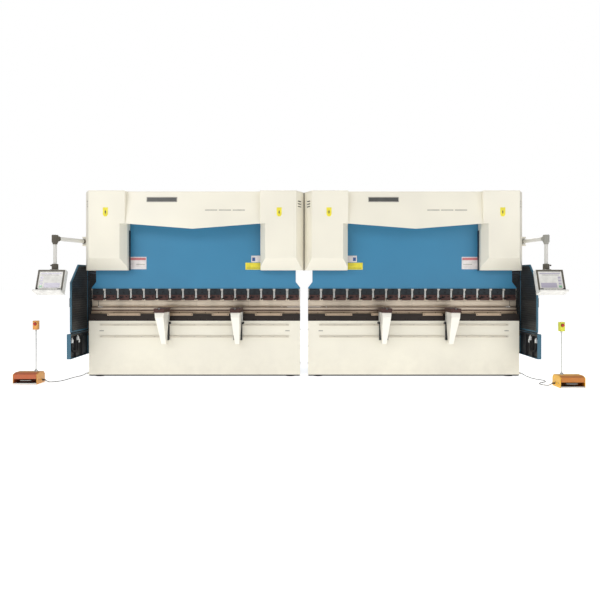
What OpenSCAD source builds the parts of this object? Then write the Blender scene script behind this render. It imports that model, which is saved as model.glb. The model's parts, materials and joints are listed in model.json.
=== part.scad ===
// Tandem pair of hydraulic press brakes with pendant controls and foot switches.
// Millimetres. X runs along the bending line, -Y is the operator's side, +Z is up.
// The origin is on the floor, midway between the two machines, under the bending line.

/* [Tandem line] */
// Bending length of one machine
bend_len = 3200; // [2600:20:4200]
// How far the hood reaches past each end of the tooling
hood_overhang = 52; // [30:1:90]
// Gap between the two hoods
hood_gap = 16; // [8:1:60]

/* [Feet and bed] */
// Height of the levelling feet
foot_h = 27; // [15:1:60]
// Diameter of a levelling foot
foot_d = 140; // [90:1:180]
// Diameter of an anchor bolt hole
anchor_d = 26; // [16:1:36]
// How far an anchor flange reaches out from the side frame
flange_reach = 160; // [145:1:200]
// Length of an anchor flange, front to back
flange_len = 120; // [90:1:160]
// Thickness of an anchor flange
flange_t = 30; // [15:1:50]
// Height of the welded bed
bed_h = 814; // [680:1:980]
// How far the apron stands ahead of the bending line
apron_front = 150; // [120:1:200]
// How far the bed reaches behind the bending line
bed_back = 60; // [48:1:80]
// Thickness of the apron sheet
apron_t = 20; // [8:1:30]
// Thickness of the bed's main web
bed_web_t = 80; // [50:1:100]
// Thickness of the bed's top and bottom slabs
bed_slab_t = 30; // [20:1:50]
// Diameter of the cable gland on the bed end
gland_d = 30; // [20:1:40]
// How far the cable gland stands out
gland_len = 30; // [16:1:50]

/* [Side frames] */
// Thickness of a side plate
frame_t = 60; // [40:1:80]
// How far the outer face of a side plate is inboard of the tooling end
frame_inset = 230; // [180:1:300]
// Depth of the side plates behind the bending line
frame_depth = 1100; // [950:10:1400]
// Height of the side plates' top edge
frame_top = 2480; // [2400:10:2640]
// Height of the rear edge where its top corner is cut off
frame_nape = 2100; // [1900:10:2300]
// How far the rear top corner is cut back
frame_slope = 150; // [60:10:260]
// Distance from the bending line to the back of the throat
throat_back = 460; // [380:10:560]
// Corner radius of the throat
throat_r = 100; // [40:5:140]
// Underside of the upper arm
throat_top = 1620; // [1560:5:1700]
// Front edge of the upper arm, behind the bending line
upper_front = 140; // [125:1:180]
// Height and depth of the rear tie beam
tie_h = 300; // [150:10:400]
// Thickness of the tie beams
tie_t = 60; // [30:5:80]

/* [Table and tooling] */
// Height of the crowning bar on the bed
crown_h = 89; // [60:1:120]
// How far the crowning bar sits back from the apron
crown_set = 10; // [4:1:30]
// Height of the die rail
rail_h = 55; // [35:1:80]
// Depth of the die rail, front to back
rail_w = 110; // [80:1:116]
// Height of the die
die_h = 60; // [50:1:90]
// Depth of the die, front to back
die_w = 60; // [44:1:80]
// Opening of the die's vee
vee_w = 24; // [10:1:34]
// Width of the tongues of punch and die
tongue_w = 13; // [10:0.5:16]
// Height of the die's tongue
die_tongue_h = 20; // [12:1:26]
// Clearance of a tongue in its slot, each side
tongue_fit = 0.3; // [0.1:0.05:0.6]
// Gap left between punch tip and die when the ram is down
tool_gap = 4; // [1:0.5:10]
// Height of the punch from tip to shoulder
punch_h = 116; // [90:1:150]
// Thickness of the punch blade
punch_t = 28; // [18:1:36]
// Thickness of the punch at its shoulder
punch_shoulder = 44; // [38:1:56]
// Height of the punch's tongue
punch_tongue_h = 25; // [16:1:40]
// Number of segments in each punch and die
tool_segments = 4; // [1:1:8]
// Gap between neighbouring tool segments
segment_gap = 0.4; // [0.2:0.1:2]

/* [Ram and clamps] */
// Thickness of the ram plate
ram_t = 80; // [60:1:100]
// Height of the ram plate
ram_h = 1023; // [900:1:1100]
// Height of the ram's shoulders above its lower edge
shoulder_h = 373; // [330:1:400]
// How far the ram's ends stand back above the flare
ram_end_cut = 68; // [30:1:100]
// Height of the straight edge below the flare
ram_heel_h = 16; // [6:1:40]
// Half width of the ram between the cylinders
ram_neck_half = 1080; // [900:10:1110]
// Height of the ledge under the ram
ledge_h = 27; // [15:1:40]
// Number of clamps on one machine
clamp_count = 16; // [8:1:20]
// Width of one clamp
clamp_w = 160; // [120:1:180]
// Height of one clamp
clamp_h = 135; // [110:1:160]
// Depth of a clamp ahead of the bending line
clamp_front = 40; // [32:1:50]
// Depth of a clamp behind the bending line
clamp_rear = 30; // [26:1:40]
// Thickness of the clamping plate
clamp_plate_t = 22; // [12:1:30]
// Height of the clamping plate
clamp_plate_h = 90; // [60:1:100]
// Side of the seat under each piston rod
rod_seat = 190; // [180:1:200]

/* [Cylinders] */
// Outer diameter of a cylinder
cyl_d = 240; // [230:1:250]
// Bore of a cylinder
bore_d = 200; // [180:1:205]
// Diameter of a piston rod
rod_d = 120; // [90:1:140]
// Radial running clearance of rods, pistons, pins and posts
run_fit = 0.05; // [0.02:0.01:0.1]
// Stroke of the ram
stroke = 200; // [120:5:240]
// Bare rod between the ram's shoulder and the cylinder, ram down
rod_show = 260; // [250:5:300]
// Oil space above the piston at full stroke
cyl_cushion = 170; // [140:5:210]
// Thickness of the piston
piston_h = 60; // [40:1:80]
// Thickness of the rod's foot flange
rod_foot_h = 25; // [15:1:35]
// Height of the mounting plate above the lower end of its cylinder
mount_rise = 100; // [60:5:160]
// Thickness of the mounting plate
mount_t = 60; // [40:5:80]
// How far a cylinder's flange stands out from it
cyl_flange = 15; // [10:1:15]

/* [Hood] */
// Height of the top of the hood
hood_top = 2790; // [2700:10:2950]
// Front face of the column covers, ahead of the bending line
hood_front = 330; // [280:5:400]
// Thickness of the cover sheet
sheet_t = 8; // [4:1:12]
// Width of one column cover
column_w = 650; // [560:5:700]
// Lower edge of the column covers
column_foot = 1606; // [1560:1:1640]
// Height of the slanted band at the foot of a column cover
band_h = 179; // [100:1:240]
// How far that band slants back
band_set = 170; // [80:5:220]
// Width of the bevel on the outer corners
bevel_w = 110; // [60:5:160]
// Depth of the bevel on the outer corners
bevel_d = 200; // [120:5:260]
// Width of the bevel beside the window
window_bevel_w = 80; // [40:5:120]
// Depth of the bevel beside the window
window_bevel_d = 125; // [60:5:160]
// Height of the window's upper corners
window_top = 2300; // [2200:5:2400]
// How far the lower edge of the centre panel dips at mid width
window_dip = 79; // [0:1:120]
// How far the top of the centre panel stands back from the covers
panel_lean = 100; // [0:5:160]
// How far the outer walls reach behind the bending line
side_back = 300; // [220:10:380]
// Number of vent slots in each bevel
vent_count = 3; // [1:1:6]
// Height of one vent slot
vent_h = 14; // [8:1:24]
// Distance from one vent slot to the next
vent_pitch = 40; // [30:1:60]

/* [Hydraulics and cabinet] */
// Depth of the oil tank, front to back
tank_d = 550; // [400:10:600]
// Height of the oil tank
tank_h = 350; // [250:10:380]
// Wall of the tank and of the cabinet
box_wall = 8; // [4:1:15]
// Diameter of the pump motor
motor_d = 220; // [160:5:240]
// Length of the pump motor
motor_len = 400; // [300:10:500]
// Diameter of the pump
pump_d = 130; // [90:5:160]
// Length of the pump
pump_len = 220; // [150:10:300]
// Depth of the electrical cabinet, out from the side frame
cabinet_w = 260; // [200:10:275]
// Width of the electrical cabinet, front to back
cabinet_d = 540; // [400:10:550]
// Height of the electrical cabinet
cabinet_h = 1180; // [800:10:1200]

/* [Back gauge] */
// Width of a gauge runway
runway_w = 110; // [80:5:120]
// Height of a gauge runway
runway_h = 100; // [70:5:120]
// Length of a gauge runway
runway_len = 900; // [820:10:930]
// Clearance between sliding faces
slide_fit = 0.3; // [0.2:0.05:0.5]
// Length of a gauge carriage along its runway
carriage_len = 200; // [140:10:240]
// Height of a gauge carriage
carriage_h = 50; // [40:5:60]
// Distance from the bending line to the gauge's posts, gauge forward
gauge_rest = 430; // [400:5:480]
// Diameter of a lifting post
post_d = 50; // [36:1:60]
// Height of a lifting post above its carriage
post_h = 350; // [320:5:380]
// Height of the gap below the gauge beam when it is down
beam_gap = 60; // [40:5:80]
// Depth of the gauge beam, front to back
beam_d = 100; // [90:5:120]
// Height of the gauge beam
beam_h = 80; // [60:5:90]
// Width and height of the finger rail on the beam
finger_rail = [40, 15]; // [10:1:60]
// Width of a gauge finger's slide block
finger_w = 100; // [80:5:140]
// Width of a gauge finger's nose
nose_w = 40; // [20:1:60]
// Distance from the bending line to the fingers' tips, gauge forward
nose_tip = 130; // [120:5:200]
// Distance of each finger from the middle of its machine
finger_x = 500; // [300:10:700]

/* [Sheet supports] */
// Heights of the two support rails above the floor
support_rail_z = [603, 781]; // [560:1:820]
// Depth of a support rail
support_rail_d = 15; // [10:1:20]
// Height of a support rail
support_rail_h = 25; // [16:1:30]
// How far each rail ends inboard of the tooling end
support_rail_inset = 170; // [60:5:260]
// Width of a support arm's top
arm_w = 150; // [110:5:180]
// Height of a support arm's top beam
arm_h = 60; // [40:1:80]
// How far a support arm reaches ahead of the bending line
arm_reach = 560; // [420:5:640]
// Lowest point of a support arm
arm_foot = 500; // [460:5:520]
// Width of a support arm's lower end
arm_foot_w = 70; // [50:5:100]
// Width of the slide block behind a support arm
slide_w = 130; // [90:5:150]
// Positions of the left machine's arms from its middle
arm_x_left = [-440, 660]; // [-1300:10:1300]
// Positions of the right machine's arms from its middle
arm_x_right = [-460, 540]; // [-1300:10:1300]

/* [Side guards] */
// Distance from the hood's side to the middle of the guard
guard_out = 48; // [40:1:80]
// Thickness of the guard door
guard_t = 30; // [16:1:36]
// Height of the guard's lower box, from its foot to its top
guard_box_z = [320, 680]; // [260:5:720]
// How far the lower box reaches ahead of the bending line
guard_box_front = 640; // [560:5:700]
// How far the door reaches ahead of the bending line
door_front = 590; // [500:5:640]
// Height of the door's top edge
door_top = 1690; // [1650:5:1750]
// Height of the door's front edge, where the slant begins
door_slant_z = 1420; // [1300:5:1500]
// Depth of the door's slant
door_slant_d = 284; // [200:5:360]
// Diameter of the hinge post
hinge_d = 40; // [28:1:50]
// Wall of a hinge barrel
barrel_wall = 10; // [6:1:14]

/* [Control pendants] */
// Height of the pendant arms
boom_z = 2050; // [1950:5:2100]
// Length of a pendant arm
boom_len = 650; // [560:5:720]
// Diameter of a pendant arm
boom_d = 60; // [40:1:70]
// How far each arm is swung outwards: left machine, right machine
boom_yaw = [18, 8]; // [0:1:30]
// Diameter of the hinge pin of a pendant arm
boom_pin_d = 30; // [20:1:36]
// Height of the hub of a pendant arm
boom_hub_h = 90; // [60:5:120]
// Height of the lower end of the drop tube
drop_foot = 1640; // [1600:5:1700]
// Diameter of the drop tube
drop_d = 50; // [36:1:56]
// Width of the pendant
pendant_w = 390; // [320:5:440]
// Height of the pendant's face
pendant_h = 320; // [260:5:340]
// Thickness of the pendant
pendant_t = 90; // [60:5:110]
// How far the pendant's face leans back, in degrees
pendant_tilt = 20; // [10:1:28]
// Depth of the ledge below the pendant's face
ledge_d = 110; // [60:5:130]

/* [Foot switches] */
// Width of a foot switch
pedal_w = 340; // [300:5:380]
// Depth of a foot switch
pedal_d = 250; // [220:5:300]
// Height of a foot switch
pedal_h = 160; // [140:5:180]
// Wall of a foot switch
pedal_wall = 10; // [6:1:14]
// Distance of each foot switch outward from the hood: left, right
pedal_out = [576, 303]; // [250:1:700]
// Distance of each foot switch ahead of the bending line: left, right
pedal_front = [744, 1023]; // [650:1:1200]
// Width of a treadle
treadle_w = 150; // [120:5:160]
// Thickness of a treadle
treadle_t = 12; // [8:1:16]
// How far a treadle's front rises above level, in degrees
treadle_rise = 4; // [2:0.5:6]
// Diameter of a treadle's axle
axle_d = 12; // [8:1:16]
// Thickness of a foot switch's floor
pedal_floor = 20; // [8:1:22]
// Height of the top of the emergency-stop box
stop_top = 880; // [800:5:950]
// Width, depth and height of the emergency-stop box
stop_box = [72, 64, 128]; // [50:1:160]
// Diameter of the stand's pole
pole_d = 16; // [12:1:30]
// How far the stand is set off towards the machine
stand_shift = 76; // [50:1:100]
// Diameter of the emergency-stop button
button_d = 40; // [30:1:50]
// Diameter of the emergency-stop button's stem
stem_d = 16; // [10:1:24]
// Travel of the emergency-stop button
button_travel = 6; // [4:1:10]
// Diameter of a foot switch cable
cable_d = 12; // [10:1:14]

/* [Hidden] */

$fn = 48;
eps = 1;                                        // how far a cutting shape runs past its face

// Machine widths
half_len = bend_len / 2;
hood_half = half_len + hood_overhang;
pitch_half = hood_half + hood_gap / 2;
frame_out = half_len - frame_inset;             // outer face of a side plate
frame_in = frame_out - frame_t;                 // inner face of a side plate
frame_mid = (frame_out + frame_in) / 2;         // also the cylinders' X

// Heights, from the floor up
bed_top = foot_h + bed_h;
crown_top = bed_top + crown_h;
rail_top = crown_top + rail_h;
die_top = rail_top + die_h;
tip_z = die_top + tool_gap;
clamp_foot = tip_z + punch_h;
clamp_top = clamp_foot + clamp_h;
ram_foot = clamp_top + ledge_h;
ram_shoulder = ram_foot + shoulder_h;
ram_top = ram_foot + ram_h;
cyl_foot = ram_shoulder + rod_show;
cyl_floor = 30;                                 // thickness of the cylinder's rod end
piston_rest = cyl_foot + cyl_floor + 20;
cyl_cap = 40;                                   // thickness of the cylinder's closed end
cyl_h = piston_rest - cyl_foot + piston_h + stroke + cyl_cushion + cyl_cap;
mount_z = cyl_foot + mount_rise;
sheet_top = hood_top - sheet_t;

slot_half = tongue_w / 2 + tongue_fit;          // half width of the slots that the tongues sit in

// Anchor bolts
anchor_x = frame_out + flange_reach / 2;
anchor_front = bed_back + 80;
anchor_rear = frame_depth - 100;

// Back gauge
lower_arm_top = bed_top + 9;
runway_mid = frame_in - runway_w / 2;
carriage_z = lower_arm_top + slide_fit;
beam_z = carriage_z + carriage_h + beam_gap;
beam_top = beam_z + beam_h;
finger_z = beam_top + finger_rail[1];

// Guards, pendants and foot switches, outward from a machine's middle
guard_x = hood_half + guard_out;
hinge_y = bed_back + 15;
boom_x = hood_half + 40;
boom_y = -50;

axle_y = pedal_d / 2 - 80;
axle_z = 45;
stop_y = pedal_d / 2 - 75;                      // the stop stand, from the middle of its foot switch
stop_button_z = stop_top - 44;

// Cable routes: from the foot switch to the bed's gland, a point every 30 mm or so
left_route = [
    [-3718, -700, 40], [-3690, -700, 40], [-3662, -698, 26], [-3634, -694, 12], [-3605, -686, 7],
    [-3577, -674, 7], [-3551, -658, 7], [-3528, -638, 7], [-3509, -614, 7], [-3494, -587, 7],
    [-3483, -558, 7], [-3475, -528, 7], [-3469, -497, 7], [-3464, -466, 7], [-3459, -435, 7],
    [-3454, -404, 7], [-3449, -373, 7], [-3444, -342, 7], [-3438, -311, 7], [-3432, -280, 7],
    [-3425, -250, 7], [-3416, -220, 7], [-3405, -192, 7], [-3391, -165, 8], [-3373, -141, 12],
    [-3352, -123, 20], [-3331, -113, 31], [-3311, -110, 42], [-3290, -110, 42]
];
right_route = [
    [3445, -980, 40], [3420, -980, 40], [3393, -978, 26], [3366, -972, 12], [3341, -960, 7],
    [3319, -941, 7], [3302, -917, 7], [3291, -889, 7], [3287, -859, 7], [3291, -829, 7],
    [3302, -801, 7], [3319, -776, 7], [3340, -754, 7], [3364, -735, 7], [3389, -717, 7],
    [3413, -698, 7], [3434, -676, 7], [3451, -650, 7], [3462, -621, 7], [3466, -590, 7],
    [3463, -559, 7], [3454, -529, 7], [3440, -501, 7], [3423, -475, 7], [3406, -449, 7],
    [3391, -422, 7], [3380, -393, 7], [3373, -363, 7], [3369, -332, 7], [3367, -301, 7],
    [3366, -270, 7], [3365, -239, 7], [3363, -208, 7], [3359, -178, 8], [3351, -150, 13],
    [3337, -128, 22], [3320, -115, 34], [3305, -110, 42], [3290, -110, 42]
];
gland_y = -110;
gland_z = 42;
cable_sides = 10;

// Places its children at the middle of a machine; side is -1 for left and 1 for right.
module at_machine(side) {
    translate([side * pitch_half, 0, 0]) children();
}

// Draws its children for the right machine's outer end, or mirrors them for the left one's.
module at_outer_end(side) {
    mirror([side < 0 ? 1 : 0, 0, 0]) translate([pitch_half, 0, 0]) children();
}

// Draws its children twice, as they are and mirrored in X.
module both_ends() {
    children();
    mirror([1, 0, 0]) children();
}

// A box from its lowest to its highest corner.
module block(low, high) {
    translate(low) cube(high - low);
}

// A profile in Y and Z, extruded along X and centred on it.
module along_x(length) {
    translate([-length / 2, 0, 0]) rotate([90, 0, 90]) linear_extrude(length) children();
}

// A profile in X and Z, extruded along Y from one plane to another.
module along_y(from, to) {
    translate([0, to, 0]) rotate([90, 0, 0]) linear_extrude(to - from) children();
}

// A profile in X and Y, extruded from one height to another.
module along_z(from, to) {
    translate([0, 0, from]) linear_extrude(to - from) children();
}

// A rectangle from its lowest to its highest corner.
module area(low, high) {
    translate(low) square(high - low);
}

// An upright rod or hole.
module rod(x, y, from, to, d) {
    translate([x, y, from]) cylinder(h = to - from, d = d);
}

// ---------------------------------------------------------------- frame

module frame_outline() {
    difference() {
        polygon([
            [bed_back, foot_h], [frame_depth, foot_h], [frame_depth, frame_nape],
            [frame_depth - frame_slope, frame_top], [upper_front, frame_top],
            [upper_front, throat_top], [bed_back, throat_top]
        ]);
        area([bed_back - eps, lower_arm_top], [throat_back - throat_r, throat_top + eps / 2]);
        area([throat_back - throat_r - eps, lower_arm_top + throat_r], [throat_back, throat_top - throat_r]);
        for (z = [lower_arm_top + throat_r, throat_top - throat_r])
            translate([throat_back - throat_r, z]) circle(r = throat_r);
    }
}

module anchor_flange(y) {
    difference() {
        block([frame_out, y - flange_len / 2, foot_h],
            [frame_out + flange_reach, y + flange_len / 2, foot_h + flange_t]);
        rod(anchor_x, y, foot_h - eps, foot_h + flange_t + eps, anchor_d);
    }
}

// Plate that carries a cylinder in front of the side plate.
module cylinder_mount() {
    half = cyl_d / 2 + 30;
    difference() {
        block([frame_mid - half, -half, mount_z], [frame_mid + half, upper_front, mount_z + mount_t]);
        rod(frame_mid, 0, mount_z - eps, mount_z + mount_t + eps, cyl_d + 2 * run_fit);
    }
}

// Guide that the back of the ram runs along, on its bracket.
module ram_guide() {
    guide_x = ram_neck_half + 40;
    guide_top = cyl_foot - 10;
    block([guide_x, ram_t / 2 + slide_fit, throat_top], [guide_x + 80, upper_front, guide_top]);
    block([guide_x, upper_front - 30, throat_top], [frame_in, upper_front, guide_top]);
    block([frame_in - 30, upper_front - 30, throat_top], [frame_in, upper_front + 60, guide_top]);
}

module side_frames(side) color([0.34, 0.36, 0.38]) at_machine(side) {
    both_ends() {
        translate([frame_mid, 0, 0]) along_x(frame_t) frame_outline();
        anchor_flange(anchor_front);
        anchor_flange(anchor_rear);
        cylinder_mount();
        ram_guide();
    }
    tie_y = frame_depth - 100;
    tie_z = foot_h + 120;
    block([-frame_in, tie_y - tie_t, tie_z], [frame_in, tie_y, tie_z + tie_h]);
    block([-frame_in, upper_front, frame_top - tie_h], [frame_in, upper_front + tie_t, frame_top]);
}

module bed_profile() {
    area([-apron_front, foot_h], [-apron_front + apron_t, bed_top]);
    area([-apron_front, bed_top - bed_slab_t], [bed_back, bed_top]);
    area([-apron_front, foot_h], [bed_back, foot_h + bed_slab_t]);
    area([-bed_web_t / 2, foot_h], [bed_web_t / 2, bed_top]);
}

module bed(side) color([0.93, 0.90, 0.84]) {
    at_machine(side) {
        along_x(bend_len) bed_profile();
        both_ends() block([half_len - apron_t, -apron_front, foot_h], [half_len, bed_back, bed_top]);
    }
    at_outer_end(side) translate([half_len, gland_y, gland_z])
        rotate([0, 90, 0]) cylinder(h = gland_len, d = gland_d);
}

module levelling_feet() color([0.15, 0.15, 0.16]) for (side = [-1, 1]) at_machine(side) both_ends() {
    for (y = [anchor_front, anchor_rear]) difference() {
        rod(anchor_x, y, 0, foot_h, foot_d);
        rod(anchor_x, y, -eps, foot_h + eps, anchor_d);
    }
    rod(anchor_x, -apron_front + foot_d / 2 + 5, 0, foot_h, foot_d);
}

// ---------------------------------------------------------------- table and tooling

module table(side) color([0.30, 0.25, 0.21]) at_machine(side) difference() {
    along_x(bend_len) {
        area([-apron_front + crown_set, bed_top], [bed_back, crown_top]);
        area([-rail_w / 2, crown_top], [rail_w / 2, rail_top]);
    }
    along_x(bend_len + 2 * eps)
        area([-slot_half, rail_top - die_tongue_h - 1], [slot_half, rail_top + eps]);
}

// Repeats a profile as the segments of a tool.
module tool_run() {
    segment = bend_len / tool_segments;
    for (i = [0 : tool_segments - 1])
        translate([(i + 0.5) * segment - half_len, 0, 0]) along_x(segment - segment_gap) children();
}

module die(side) color([0.62, 0.57, 0.50]) at_machine(side) tool_run() difference() {
    union() {
        area([-die_w / 2, rail_top], [die_w / 2, die_top]);
        area([-tongue_w / 2, rail_top - die_tongue_h], [tongue_w / 2, rail_top]);
    }
    polygon([
        [-vee_w / 2, die_top + eps], [-vee_w / 2, die_top], [0, die_top - vee_w / 2], [vee_w / 2, die_top],
        [vee_w / 2, die_top + eps]
    ]);
}

module punch(side) color([0.78, 0.72, 0.66]) at_machine(side) tool_run() translate([0, tip_z]) polygon([
    [1, 0], [punch_t / 2, 34], [punch_t / 2, punch_h - 36], [punch_shoulder / 2, punch_h - 21],
    [punch_shoulder / 2, punch_h], [tongue_w / 2, punch_h], [tongue_w / 2, punch_h + punch_tongue_h],
    [-tongue_w / 2, punch_h + punch_tongue_h], [-tongue_w / 2, punch_h], [-punch_shoulder / 2, punch_h],
    [-punch_shoulder / 2, punch_h - 21], [-punch_t / 2, punch_h - 36], [-punch_t / 2, 34], [-1, 0]
]);

module clamp_profile() difference() {
    plate_foot = clamp_foot + 5;
    union() {
        area([-clamp_front, clamp_foot], [clamp_rear, clamp_top]);
        area([-clamp_front - clamp_plate_t, plate_foot], [-clamp_front, plate_foot + clamp_plate_h]);
    }
    area([-slot_half, clamp_foot - eps], [slot_half, clamp_foot + punch_tongue_h + 1]);
}

module clamps(side) color([0.38, 0.34, 0.30]) at_machine(side) {
    clamp_pitch = bend_len / clamp_count;
    along_x(bend_len) {
        area([-clamp_front - 10, clamp_top], [clamp_rear + 25, ram_foot]);
        area([clamp_rear, clamp_foot + 15], [clamp_rear + 25, clamp_top]);
    }
    for (i = [0 : clamp_count - 1])
        translate([(i + 0.5) * clamp_pitch - half_len, 0, 0]) along_x(clamp_w) clamp_profile();
}

// ---------------------------------------------------------------- ram and cylinders

module ram(side) color([0.27, 0.53, 0.66]) at_machine(side) {
    end = half_len - ram_end_cut;
    flare_z = ram_foot + ram_heel_h;
    along_y(-ram_t / 2, ram_t / 2) polygon([
        [-half_len, ram_foot], [half_len, ram_foot], [half_len, flare_z], [end, flare_z + ram_end_cut + 20],
        [end, ram_shoulder], [ram_neck_half, ram_shoulder],
        [ram_neck_half, ram_top - 60], [ram_neck_half - 60, ram_top],
        [-ram_neck_half + 60, ram_top], [-ram_neck_half, ram_top - 60],
        [-ram_neck_half, ram_shoulder],
        [-end, ram_shoulder], [-end, flare_z + ram_end_cut + 20], [-half_len, flare_z]
    ]);
    both_ends() block([frame_mid - rod_seat / 2, -rod_seat / 2, ram_shoulder - 40],
        [frame_mid + rod_seat / 2, rod_seat / 2, ram_shoulder]);
}

module piston_rods(side) color([0.80, 0.81, 0.82]) at_machine(side) both_ends() {
    rod(frame_mid, 0, ram_shoulder, ram_shoulder + rod_foot_h, rod_seat - 10);
    rod(frame_mid, 0, ram_shoulder, piston_rest + piston_h, rod_d);
    rod(frame_mid, 0, piston_rest, piston_rest + piston_h, bore_d - 2 * run_fit);
}

module cylinders(side) color([0.20, 0.21, 0.23]) at_machine(side) both_ends() difference() {
    union() {
        rod(frame_mid, 0, cyl_foot, cyl_foot + cyl_h, cyl_d);
        rod(frame_mid, 0, mount_z + mount_t, mount_z + mount_t + 30, cyl_d + 2 * cyl_flange);
        block([frame_mid - 70, -70, cyl_foot + cyl_h], [frame_mid + 70, 70, cyl_foot + cyl_h + 90]);
    }
    rod(frame_mid, 0, cyl_foot - eps, cyl_foot + cyl_floor + eps, rod_d + 2 * run_fit);
    rod(frame_mid, 0, cyl_foot + cyl_floor, cyl_foot + cyl_h - cyl_cap, bore_d);
}

// ---------------------------------------------------------------- hood

// Plan of a column cover; inset moves every wall inwards, and bevelled cuts the window corner.
module column_plan(inset, bevelled) {
    inner = hood_half - column_w;
    back = -ram_t / 2 - 20 + (inset > 0 ? eps : 0);
    window_corner = bevelled
        ? [
            [inner + window_bevel_w + inset / 2, -hood_front + inset],
            [inner + inset, -hood_front + window_bevel_d + inset / 3]
        ]
        : [[inner + inset, -hood_front + inset]];
    polygon(concat(
        [
            [inner + inset, back],
            [hood_half - inset, back],
            [hood_half - inset, -hood_front + bevel_d + inset / 4],
            [hood_half - bevel_w - 0.6 * inset, -hood_front + inset]
        ],
        window_corner
    ));
}

// Side view of the slanted foot of a column cover.
module column_side(inset) {
    band_top = column_foot + band_h;
    below = inset > 0 ? eps : 0;
    polygon([
        [-hood_front + inset, window_top + below], [-hood_front + inset, band_top + inset / 3],
        [-hood_front + band_set + inset, column_foot], [-hood_front + band_set + inset, column_foot - below],
        [0, column_foot - below], [0, window_top + below]
    ]);
}

module column_shell() {
    intersection() {
        along_z(column_foot, window_top) column_plan(0, true);
        along_x(8 * hood_half) column_side(0);
    }
    along_z(window_top, sheet_top) column_plan(0, false);
}

module column_hollow() {
    intersection() {
        along_z(column_foot - eps, window_top) column_plan(sheet_t, true);
        along_x(8 * hood_half) column_side(sheet_t);
    }
    along_z(window_top - sheet_t, sheet_top + eps) column_plan(sheet_t, true);
}

module vents() {
    for (i = [0 : vent_count - 1])
        translate([hood_half - bevel_w / 2, -hood_front + bevel_d / 2, hood_top - 150 - i * vent_pitch])
            rotate([0, 0, atan2(bevel_d, bevel_w)]) cube([110, 4 * sheet_t, vent_h], center = true);
}

module column_cover() {
    difference() {
        column_shell();
        column_hollow();
        vents();
    }
    block([hood_half - sheet_t, -ram_t / 2 - 20, column_foot], [hood_half, side_back, sheet_top]);
    block([frame_out, side_back - 60, window_top], [hood_half, side_back - 60 + sheet_t, window_top + 120]);
}

// Two lugs and a pin that carry a pendant arm.
module boom_bracket() {
    for (z = [boom_z - boom_hub_h / 2 - 25, boom_z + boom_hub_h / 2])
        block([hood_half, boom_y - 35, z], [boom_x + 35, boom_y + 35, z + 25]);
    rod(boom_x, boom_y, boom_z - boom_hub_h / 2 - 25, boom_z + boom_hub_h / 2 + 25, boom_pin_d);
}

module column_covers(side) color([0.91, 0.89, 0.82]) {
    at_machine(side) both_ends() column_cover();
    at_outer_end(side) boom_bracket();
}

module centre_panel(side) color([0.92, 0.90, 0.83]) at_machine(side) {
    half = hood_half - column_w;
    foot = window_top - window_dip;
    intersection() {
        along_x(2 * half) polygon([
            [-hood_front + panel_lean, sheet_top], [-hood_front + 2, foot], [-hood_front + 2 + sheet_t, foot],
            [-hood_front + panel_lean + sheet_t, sheet_top]
        ]);
        along_y(-hood_front, 0) polygon([
            [-half, window_top], [0, foot], [half, window_top], [half, sheet_top], [-half, sheet_top]
        ]);
    }
}

module top_covers() color([0.91, 0.89, 0.82]) for (side = [-1, 1]) at_machine(side) {
    inner = hood_half - column_w;
    right = [
        [inner, -hood_front + panel_lean], [inner, -hood_front], [hood_half - bevel_w, -hood_front],
        [hood_half, -hood_front + bevel_d], [hood_half, side_back]
    ];
    left = [for (i = [len(right) - 1 : -1 : 0]) [-right[i][0], right[i][1]]];
    along_z(sheet_top, hood_top) polygon(concat(right, left));
}

// ---------------------------------------------------------------- hydraulics and cabinet

module oil_tank(side) color([0.30, 0.32, 0.34]) at_machine(side) {
    front = frame_depth - frame_slope - tank_d;
    low = [-frame_in, front, frame_top - tank_h];
    high = [frame_in, front + tank_d, frame_top];
    wall = [box_wall, box_wall, box_wall];
    difference() {
        block(low, high);
        block(low + wall, high - wall);
    }
}

module pump_motors() color([0.42, 0.46, 0.50]) for (side = [-1, 1]) at_machine(side) {
    y = frame_depth - frame_slope - tank_d / 2;
    axis_z = frame_top + 20 + motor_d / 2;
    block([-motor_len + 60, y - 90, frame_top], [-60, y + 90, axis_z]);
    translate([-motor_len, y, axis_z]) rotate([0, 90, 0]) cylinder(h = motor_len, d = motor_d);
    translate([0, y, axis_z]) rotate([0, 90, 0]) cylinder(h = 60, d = 0.75 * motor_d);
    translate([60, y, axis_z]) rotate([0, 90, 0]) cylinder(h = pump_len, d = pump_d);
    block([500, y - 120, frame_top], [820, y + 120, frame_top + 140]);
}

module cabinets() color([0.88, 0.87, 0.83]) for (side = [-1, 1]) at_outer_end(side) {
    low = [frame_out, frame_depth - cabinet_d, foot_h + 290];
    high = low + [cabinet_w, cabinet_d, cabinet_h];
    wall = [box_wall, box_wall, box_wall];
    difference() {
        block(low, high);
        block(low + wall, high - wall);
    }
}

// ---------------------------------------------------------------- back gauge

module gauge_runways() color([0.55, 0.57, 0.60]) for (side = [-1, 1]) at_machine(side) both_ends()
    block([frame_in - runway_w, frame_depth - 50 - runway_len, lower_arm_top - runway_h],
        [frame_in, frame_depth - 50, lower_arm_top]);

module gauge_carriage(side) color([0.20, 0.21, 0.23]) at_machine(side) {
    top = carriage_z + carriage_h;
    both_ends() {
        block([runway_mid - runway_w / 2 + 5, gauge_rest - carriage_len / 2, carriage_z],
            [runway_mid + runway_w / 2 - 5, gauge_rest + carriage_len / 2, top]);
        rod(runway_mid, gauge_rest, top, top + post_h, post_d);
    }
    block([-runway_mid, gauge_rest - 30, carriage_z + 8], [runway_mid, gauge_rest + 30, top]);
}

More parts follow.
